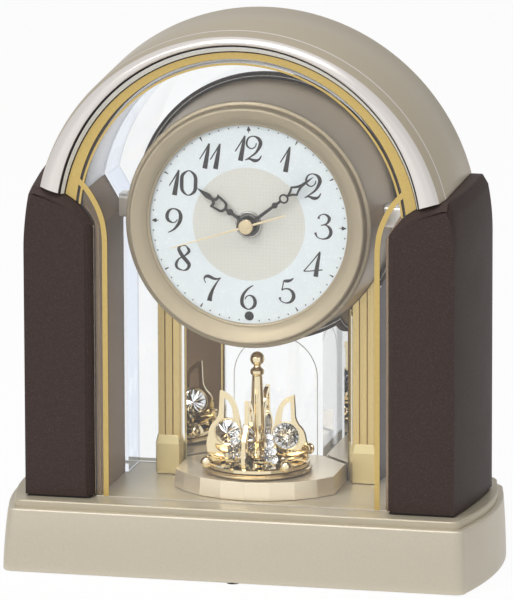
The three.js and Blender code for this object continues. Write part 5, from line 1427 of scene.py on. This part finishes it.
class CLOCK_OT_furniture(ClockOperator):
    """Arms that carry the drum, fluted columns on blocks, and the faceted pedestal"""

    bl_idname = "clock.furniture"
    bl_label = "Furniture"

    def build(self, finish, case, drum, ornament):
        self.arms(finish, drum)
        self.columns(finish, drum, ornament)
        self.pedestal(finish, ornament)

    def arms(self, finish, drum):
        lo, hi = low("drum_arm_right"), high("drum_arm_right")
        x0, x1, y0, y1 = lo.x, hi.x, lo.y - DEPTH, hi.y - DEPTH
        middle = (lo.z + hi.z) / 2
        half = (hi.z - lo.z) / 2
        section = softened([(y0, -half, 2.8), (y0, half, 2.8), (y1, half, 0.6), (y1, -half, 0.6)], 8)
        seam = (x0 + x1) / 2 + 1.4
        rings = [[(x, y0 + (y - y0) * 1 + inset, middle + z * (1 - inset / half)) for y, z in section]
                 for x, inset in ((x0, 0), (seam - 0.3, 0), (seam - 0.2, 0.3), (seam + 0.2, 0.3), (seam + 0.3, 0), (x1, 0))]
        arm = lofted("drum_arm_right_fine", rings, finish.arm)
        cut(arm, drum_room(drum))
        fitted(arm, "case", "champagne_drum", "drum_arm_right")
        fitted(mirrored(arm, "drum_arm_left_fine"), "case", "champagne_drum", "drum_arm_left")

    def columns(self, finish, drum, ornament):
        half = ornament.column_width / 2
        x0, x1 = ornament.column_middle - half, ornament.column_middle + half
        front, rear = ornament.column_front, ornament.column_front + ornament.column_depth
        bottom, top = low("column_right").z, high("column_right").z
        plan = [(x0, rear), (x0, front + 0.9), (x0 + 0.5, front)]
        for x in (ornament.column_middle - half / 3, ornament.column_middle + half / 3):
            plan += [(x - 0.3, front), (x, front + 0.5), (x + 0.3, front)]
        plan += [(x1 - 0.5, front), (x1, front + 0.9), (x1, rear)]
        strip = prism("column_right_fine", plan, bottom, top, finish.pale_gold, 20)
        cut(strip, drum_room(drum), sharp=20)
        end = high("column_right").y - DEPTH
        plan = [(x1 - 0.4, rear + 0.05), (x1 + 0.4, rear + 0.05), (x1 + 3.2, end), (x1 + 2.4, end)]
        flank = prism("column_flank_right", plan, bottom, top, finish.flank)
        cut(flank, drum_room(drum))
        fitted(flank, "case", "gold_column")
        fitted(mirrored(flank, "column_flank_left"), "case", "gold_column")
        fitted(strip, "case", "gold_column", "column_right")
        fitted(mirrored(strip, "column_left_fine"), "case", "gold_column", "column_left")
        head = bottom + ornament.block_height
        rings = []
        for z, grow in ((bottom, 1.0), (head - 4.2, 1.0), (head, 0.1)):
            rings.append([(x0 - grow, front + 1.2, z), (x0 - grow + 1.6, front - grow, z), (x1 + grow - 0.6, front - grow, z),
                          (x1 + grow, front, z), (x1 + grow, rear + grow, z), (x0 - grow, rear + grow, z)])
        footing = eased(lofted("column_block_right", rings, finish.block, 10), 0.15, limit=12)
        fitted(footing, "case", "gold_column")
        fitted(mirrored(footing, "column_block_left"), "case", "gold_column")

    def pedestal(self, finish, ornament):
        lo, hi = low("pedestal"), high("pedestal")
        source = frame["nodes"]["pedestal"].data
        plans = {}
        for vertex in source.vertices:
            plans.setdefault(round(vertex.co.z / MM, 2), set()).add(
                (round(vertex.co.x / MM, 3), round(vertex.co.y / MM - DEPTH, 3)))
        axis = Vector((0, ornament.axis_y))
        rings = []
        for level in (min(plans), max(plans)):
            spots = [p for p in plans[level] if (Vector(p) - axis).length > 5]
            middle = Vector((0, 15))
            spots.sort(key=lambda p: math.atan2(p[1] - middle.y, p[0] - middle.x))
            rings.append([(x, y, level) for x, y in spots])
        piece = lofted("pedestal_fine", rings, finish.pedestal, 5)
        cut(piece, spindle_hole(ornament, lo.z - 1, hi.z + 1), sharp=5)
        eased(piece, 0.15, 2, 8)
        fitted(piece, "case", "champagne_plastic", "pedestal")


def drum_room(drum):
    """Room of the drum with clearance, for cutting what stands round it."""
    rear = drum.drum_rear + FIT + 3.1
    end = high("drum_rear_cover").y - DEPTH
    profile = [(0, drum.dial_face)] + [(drum.drum_front + FIT, drum.dial_face)] + drum_outline(drum, FIT, 12)
    profile += [(drum.rim_radius + FIT, drum.drum_rear), (drum.rim_radius + FIT, rear + FIT),
                (drum.cap_radius + FIT, rear + 2 + FIT), (drum.cap_radius + FIT, end + FIT), (0, end + FIT)]
    return turned("drum_room", profile, (), drum.dial_height, steps=96)


# Ornament

ORNAMENT_TURN = math.radians(-3)


def around_post(piece, ornament, quarter, lift):
    """Turns a piece drawn with x away from the post and z up to one of the four sides of the ornament."""
    turn = math.radians(quarter) + ORNAMENT_TURN - math.pi / 2
    home = Matrix.Translation(place(0, ornament.axis_y, lift))
    away = Matrix.Translation(-place(0, 0, 0))
    piece.data.transform(home @ Matrix.Rotation(turn, 4, "Z") @ away)
    return piece


def wing_outline():
    """Outline of a wing as (r, z): wavy outside, a tall point and a round back edge."""
    points = [(9.0, 0.0), (23.4, 0.0)]
    for control, end in (((25.4, 5), (23.6, 9.6)), ((23.2, 14.5), (20.2, 16.6)), ((18.6, 19), (18.4, 21))):
        points += bend(points[-1], control, end, 8)
    points.append((17.9, 31.0))
    for control, end in (((11.4, 29.6), (9.5, 22.4)), ((8.2, 17), (7.6, 11)), ((7.2, 4), (9, 0))):
        points += bend(points[-1], control, end, 8)
    return points[:-1]


def brilliant(name, radius, depth, finishes, count=8, table_share=0.5):
    """Round cut stone with its table towards -y: table, two rows of crown facets, girdle and a foiled pointed back."""
    points, faces = [], []

    def ring(share, y, shift):
        start = len(points)
        for k in range(count):
            turn = 2 * math.pi * (k + shift) / count
            points.append((radius * share * math.sin(turn), y, radius * share * math.cos(turn)))
        return list(range(start, start + count))

    table = ring(table_share, -depth * 0.42, 0)
    star = ring((table_share + 1) / 2, -depth * 0.26, 0.5)
    girdle = ring(1.0, -depth * 0.04, 0)
    between = ring(1.0, -depth * 0.04, 0.5)
    base_a = ring(1.0, depth * 0.06, 0)
    base_b = ring(1.0, depth * 0.06, 0.5)
    low = ring(0.5, depth * 0.41, 0.5)
    points.append((0, depth * 0.58, 0))
    tip = len(points) - 1
    faces.append(tuple(table))
    for k in range(count):
        n = (k + 1) % count
        faces += [(table[k], star[k], table[n]), (table[k], star[k - 1], girdle[k], star[k]),
                  (star[k], girdle[k], between[k]), (star[k], between[k], girdle[n]),
                  (girdle[k], base_a[k], base_b[k], between[k]), (between[k], base_b[k], base_a[n], girdle[n]),
                  (base_a[k], low[k], base_b[k]), (base_b[k], low[k], base_a[n]),
                  (base_a[k], low[k - 1], tip, low[k])]
    return mesh_piece(name, points, faces, finishes, [0] + [0, 0, 0, 0, 0, 0, 1, 1, 1] * count, 1)


class CLOCK_OT_ornament(ClockOperator):
    """Turntable, gold plate with faceted rim, post, wings, balls and crystals"""

    bl_idname = "clock.ornament"
    bl_label = "Ornament"

    def build(self, finish, case, drum, ornament):
        self.table(finish, ornament)
        self.plate(finish, ornament)
        self.post(finish, ornament)
        self.wings(finish, ornament)
        self.clusters(finish, ornament)

    def table(self, finish, ornament):
        lo, hi = low("turntable"), high("turntable")
        bottom = high("pedestal").z + FIT
        radius = ornament.turntable_radius
        profile = softened([(0, lo.z), (2, lo.z), (2, bottom), (radius - 1.6, bottom, 0.3), (radius, bottom + 0.8, 0.8),
                            (radius, hi.z - 0.8, 0.8), (radius - 1.6, hi.z, 0.5), (0, hi.z)])
        piece = spun("turntable_fine", profile, finish.turntable, 0, ornament.axis_y, 128)
        fitted(piece, "ornament", "champagne_plastic", "turntable")

    def plate(self, finish, ornament):
        bottom = high("turntable").z + FIT
        top = low("wing_front").z - FIT
        count = 26
        rings = []
        for inset, z in ((0.8, bottom), (0.1, bottom + 0.3), (0, top - 0.5), (0.8, top)):
            rings.append([((ornament.plate_radius - inset) * math.sin(2 * math.pi * k / count), ornament.axis_y -
                           (ornament.plate_radius - inset) * math.cos(2 * math.pi * k / count), z) for k in range(count)])
        piece = lofted("gold_plate_fine", rings, finish.gold, 4)
        fitted(piece, "ornament", "ornament_gold", "ornament_plate")
        radius, orbit = ornament.ball_radius, ornament.ball_orbit
        for number, quarter in enumerate((45, 135, 225, 315)):
            rows = [math.pi * k / 24 for k in range(25)]
            profile = [(radius * math.sin(t), -radius * math.cos(t)) for t in rows]
            ball = spun(f"gold_ball_{number + 1}", profile, finish.gold, orbit, 0, 48, sharp=60)
            around_post(ball, ornament, quarter, top + 1.5)
            fitted(ball, "ornament", "ornament_gold")
            arm = ribbons(f"ball_arm_{number + 1}", [[(x, 0, w) for x, w in ((20, 2.6), (23, 2.2), (25.4, 2.8))]], -1.0, 1.0,
                          finish.gold_soft)
            arm.data.transform(Matrix.Translation(place(0, 0, 0)) @ Matrix.Rotation(math.pi / 2, 4, "X")
                               @ Matrix.Translation(-place(0, 0, 0)))
            around_post(arm, ornament, quarter, top + 0.7)
            fitted(arm, "ornament", "ornament_gold")

    def post(self, finish, ornament):
        foot, top = low("ornament_post").z, high("ornament_post").z
        ball = 3.4
        neck = top - 2 * ball
        profile = [(0, foot), (4.8, foot), (4.8, foot + 0.5), (4.2, foot + 1.0), (3.0, foot + 1.6), (2.5, foot + 2.6),
                   (2.35, foot + 4.6), (2.6, foot + 5.6), (3.3, foot + 6.8), (3.9, foot + 8.3), (4.0, foot + 9.4),
                   (3.9, foot + 10.6), (3.4, foot + 11.4), (3.2, foot + 12.2), (3.35, foot + 13.2), (3.7, foot + 14.6)]
        profile += [(3.7 - 1.2 * k / 10, foot + 15 + (neck - 5.2 - foot - 15) * k / 10) for k in range(1, 11)]
        profile += [(2.4, neck - 4.6), (2.7, neck - 4.2), (3.2, neck - 3.5), (3.35, neck - 2.7), (3.2, neck - 1.9),
                    (2.6, neck - 1.2), (2.0, neck - 0.7), (1.7, neck - 0.1), (1.6, neck + 0.3)]
        profile += [(ball * math.sin(t), top - ball - ball * math.cos(t)) for t in
                    [math.pi * (0.17 + 0.83 * k / 20) for k in range(21)]]
        piece = spun("post_fine", profile, finish.gold, 0, ornament.axis_y, 64, sharp=28)
        shaft = [v for v in piece.data.vertices if foot + 14 < v.co.z / MM < neck - 5]
        axis = place(0, ornament.axis_y, 0)
        for vertex in shaft:
            turn = math.atan2(vertex.co.x - axis.x, vertex.co.y - axis.y)
            flute = 1 - 0.05 * (0.5 + 0.5 * math.cos(12 * turn))
            vertex.co.x = axis.x + (vertex.co.x - axis.x) * flute
            vertex.co.y = axis.y + (vertex.co.y - axis.y) * flute
        fitted(piece, "ornament", "ornament_gold", "ornament_post")

    def wings(self, finish, ornament):
        lift = low("wing_front").z
        half = ornament.wing_thickness / 2
        for name, quarter in (("front", 0), ("right", 90), ("rear", 180), ("left", 270)):
            wing = slab(f"wing_{name}_fine", wing_outline(), -half, half, finish.gold)
            window = [(16.2, 27.8)] + bend((16.2, 27.8), (12.6, 26.4), (11.9, 22.0), 8) + [(11.4, 17), (16.6, 17)]
            seat = rod("seat", ornament.crystal_radius + FIT, ornament.crystal_orbit, ornament.crystal_height, -4, 4)
            cut(wing, slab("window", window, -4, 4, ()), seat)
            around_post(eased(wing, 0.25), ornament, quarter, lift)
            fitted(wing, "ornament", "ornament_gold", f"wing_{name}")
            radius = ornament.crystal_radius
            bezel = softened([(radius + 0.1, -1.2, 0.1), (radius + 0.5, -1.1, 0.1), (radius + 0.5, 1.1, 0.1), (radius + 0.1, 1.2, 0.1)])
            ring = turned(f"crystal_seat_{name}", bezel, finish.gold, ornament.crystal_height, ornament.crystal_orbit, 64)
            around_post(ring, ornament, quarter, lift)
            fitted(ring, "ornament", "ornament_gold")
            stone = brilliant(f"crystal_{name}_fine", radius, 5.2, [finish.crystal, finish.foil], 14, 0.12)
            stone.data.transform(Matrix.Translation((ornament.crystal_orbit * MM, 0, ornament.crystal_height * MM)))
            around_post(stone, ornament, quarter, lift)
            fitted(stone, "ornament", "crystal", f"crystal_{name}")

    def clusters(self, finish, ornament):
        """Small stones and gold petals on the plate between the wings."""
        lift = low("wing_front").z
        chance = random.Random(7)
        for number, quarter in enumerate((45, 135, 225, 315)):
            stones = []
            for k, (r, z, size) in enumerate(((9.5, 2.2, 2.0), (12.6, 2.6, 2.3), (15.8, 2.4, 2.2), (11.0, 5.8, 2.1),
                                              (14.2, 6.0, 2.2), (12.6, 9.2, 2.0), (10.2, 9.4, 1.7), (11.6, 12.4, 1.7))):
                stone = brilliant(f"stone_{number}_{k}", size, size * 1.5, [finish.crystal, finish.foil])
                lean = Matrix.Rotation(chance.uniform(-0.9, 0.9), 4, "Z") @ Matrix.Rotation(chance.uniform(-0.6, 0.3), 4, "X")
                back = place(0, 0, 0)
                turn = Matrix.Rotation(math.pi / 2 + chance.uniform(-0.4, 0.4), 4, "Z")
                stone.data.transform(Matrix.Translation(back) @ Matrix.Translation((r * MM, 0, z * MM)) @ turn @ lean
                                     @ Matrix.Translation(-back))
                stones.append(stone)
            cluster = merged(f"crystal_cluster_{number + 1}", stones)
            around_post(cluster, ornament, quarter, lift)
            fitted(cluster, "ornament", "crystal")
            for side in (-1, 1):
                petal = self.petal(f"petal_{number + 1}_{'left' if side < 0 else 'right'}", finish)
                petal.data.transform(Matrix.Translation(place(0, 0, 0)) @ Matrix.Rotation(side * 0.42, 4, "Z")
                                     @ Matrix.Translation(-place(0, 0, 0)))
                around_post(petal, ornament, quarter, lift)
                fitted(petal, "ornament", "ornament_gold")

    def petal(self, name, finish):
        """Cupped gold leaf that lies on the plate and curls up at its tip."""
        rows, across = 14, 8
        points, faces = [], []
        for layer in (0, 1):
            for k in range(rows + 1):
                t = k / rows
                width = 3.1 * math.sin(math.pi * min(t * 0.92 + 0.06, 1)) ** 0.8 + 0.05
                for n in range(across + 1):
                    s = 2 * n / across - 1
                    rise = 0.2 + 2.6 * t ** 2.2 + 0.9 * s * s * (1 - 0.5 * t)
                    points.append((13.5 + 10.5 * t, width * s, rise + 0.5 * layer))
        count = (rows + 1) * (across + 1)
        for k in range(rows):
            for n in range(across):
                a = k * (across + 1) + n
                b, c, d = a + 1, a + across + 2, a + across + 1
                faces += [(a, b, c, d), (a + count, d + count, c + count, b + count)]
        edge = [n for n in range(across + 1)] + [k * (across + 1) + across for k in range(1, rows + 1)]
        edge += [rows * (across + 1) + n for n in range(across - 1, -1, -1)] + [k * (across + 1) for k in range(rows - 1, 0, -1)]
        for a, b in zip(edge, edge[1:] + edge[:1]):
            faces.append((a, b, b + count, a + count))
        return mesh_piece(name, points, faces, finish.gold, sharp=50)


# Rear controls

class CLOCK_OT_controls(ClockOperator):
    """Rear buttons, battery cover with grip ribs, and the ribbed ornament switch"""

    bl_idname = "clock.controls"
    bl_label = "Rear controls"

    def build(self, finish, case, drum, ornament):
        for node in ("set_button", "receive_button"):
            lo, hi = low(node), high(node)
            x, z = (lo.x + hi.x) / 2, (lo.z + hi.z) / 2
            front, rear = lo.y - DEPTH, hi.y - DEPTH
            collar = high("drum_rear_cover").y - DEPTH - 2 - FIT
            profile = softened([(0, rear - 0.35), (1.6, rear - 0.3, 0.4), (2.2, rear, 0.3), (3, rear, 0.5), (3, collar),
                                (4, collar), (4, collar - 1.5), (1.5, collar - 1.5), (1.5, front), (0, front)])
            button = turned(node + "_fine", profile, finish.black, z, x, 48)
            fitted(button, node, "black_plastic", node)

        lo, hi = low("battery_cover"), high("battery_cover")
        y0, y1 = lo.y - DEPTH, hi.y - DEPTH
        cover = box("battery_cover_fine", lo.x, hi.x, y0, y1 - 0.5, lo.z, hi.z, finish.champagne)
        ribs = [box(f"rib_{k}", x - 0.6, x + 0.6, y1 - 0.9, y1, lo.z + 3.5, hi.z - 3.5, finish.champagne)
                for k, x in enumerate([-12 + 3 * k for k in range(9)])]
        combined(cover, ribs, "UNION")
        shaded(cover)
        notch = softened([(-8, hi.z + 1), (-8, hi.z - 1.6, 1.2), (8, hi.z - 1.6, 1.2), (8, hi.z + 1)])
        cut(cover, slab("notch", notch, y1 - 1.6, y1 + 1, ()))
        fitted(eased(cover, 0.25), "battery_door", "champagne_plastic", "battery_cover")

        lo, hi = low("ornament_switch"), high("ornament_switch")
        y0, y1 = lo.y - DEPTH, hi.y - DEPTH
        knob = box("ornament_switch_fine", lo.x, hi.x, y0, y1, lo.z, hi.z, finish.black)
        grooves = [box(f"groove_{k}", x - 0.2, x + 0.2, y1 - 0.35, y1 + 1, lo.z - 1, hi.z + 1)
                   for k, x in enumerate([lo.x + 1 + k for k in range(3)])]
        fitted(eased(cut(knob, *grooves), 0.12), "switch", "black_plastic", "ornament_switch")


# Panel and registration

OPERATORS = (CLOCK_OT_stage, CLOCK_OT_inner_works, CLOCK_OT_base, CLOCK_OT_pillars, CLOCK_OT_arch, CLOCK_OT_glass_print,
             CLOCK_OT_alcove, CLOCK_OT_drum, CLOCK_OT_dial, CLOCK_OT_hands, CLOCK_OT_furniture, CLOCK_OT_ornament,
             CLOCK_OT_controls)
SETTINGS = {"clock_case": ClockCaseSizes, "clock_drum": ClockDrumSizes, "clock_ornament": ClockOrnamentSizes,
            "clock_colours": ClockColours, "clock_stage": ClockStageSettings}


class CLOCK_PT_pieces(bpy.types.Panel):
    """Lists the clock's pieces in the 3D view's sidebar"""

    bl_label = "Table clock"
    bl_space_type = "VIEW_3D"
    bl_region_type = "UI"
    bl_category = "Clock"

    def draw(self, context):
        for operator in OPERATORS:
            self.layout.operator(operator.bl_idname)
        for name, group in SETTINGS.items():
            column = self.layout.box().column()
            column.label(text=group.__doc__)
            for setting in group.__annotations__:
                column.prop(getattr(context.scene, name), setting)


def register():
    for kind in (*SETTINGS.values(), *OPERATORS, CLOCK_PT_pieces):
        bpy.utils.register_class(kind)
    for name, group in SETTINGS.items():
        setattr(bpy.types.Scene, name, bpy.props.PointerProperty(type=group))


def unregister():
    for name in SETTINGS:
        delattr(bpy.types.Scene, name)
    for kind in reversed((*SETTINGS.values(), *OPERATORS, CLOCK_PT_pieces)):
        bpy.utils.unregister_class(kind)


def main():
    register()
    for operator in OPERATORS:
        group, name = operator.bl_idname.split(".")
        getattr(getattr(bpy.ops, group), name)()


if __name__ == "__main__":
    main()
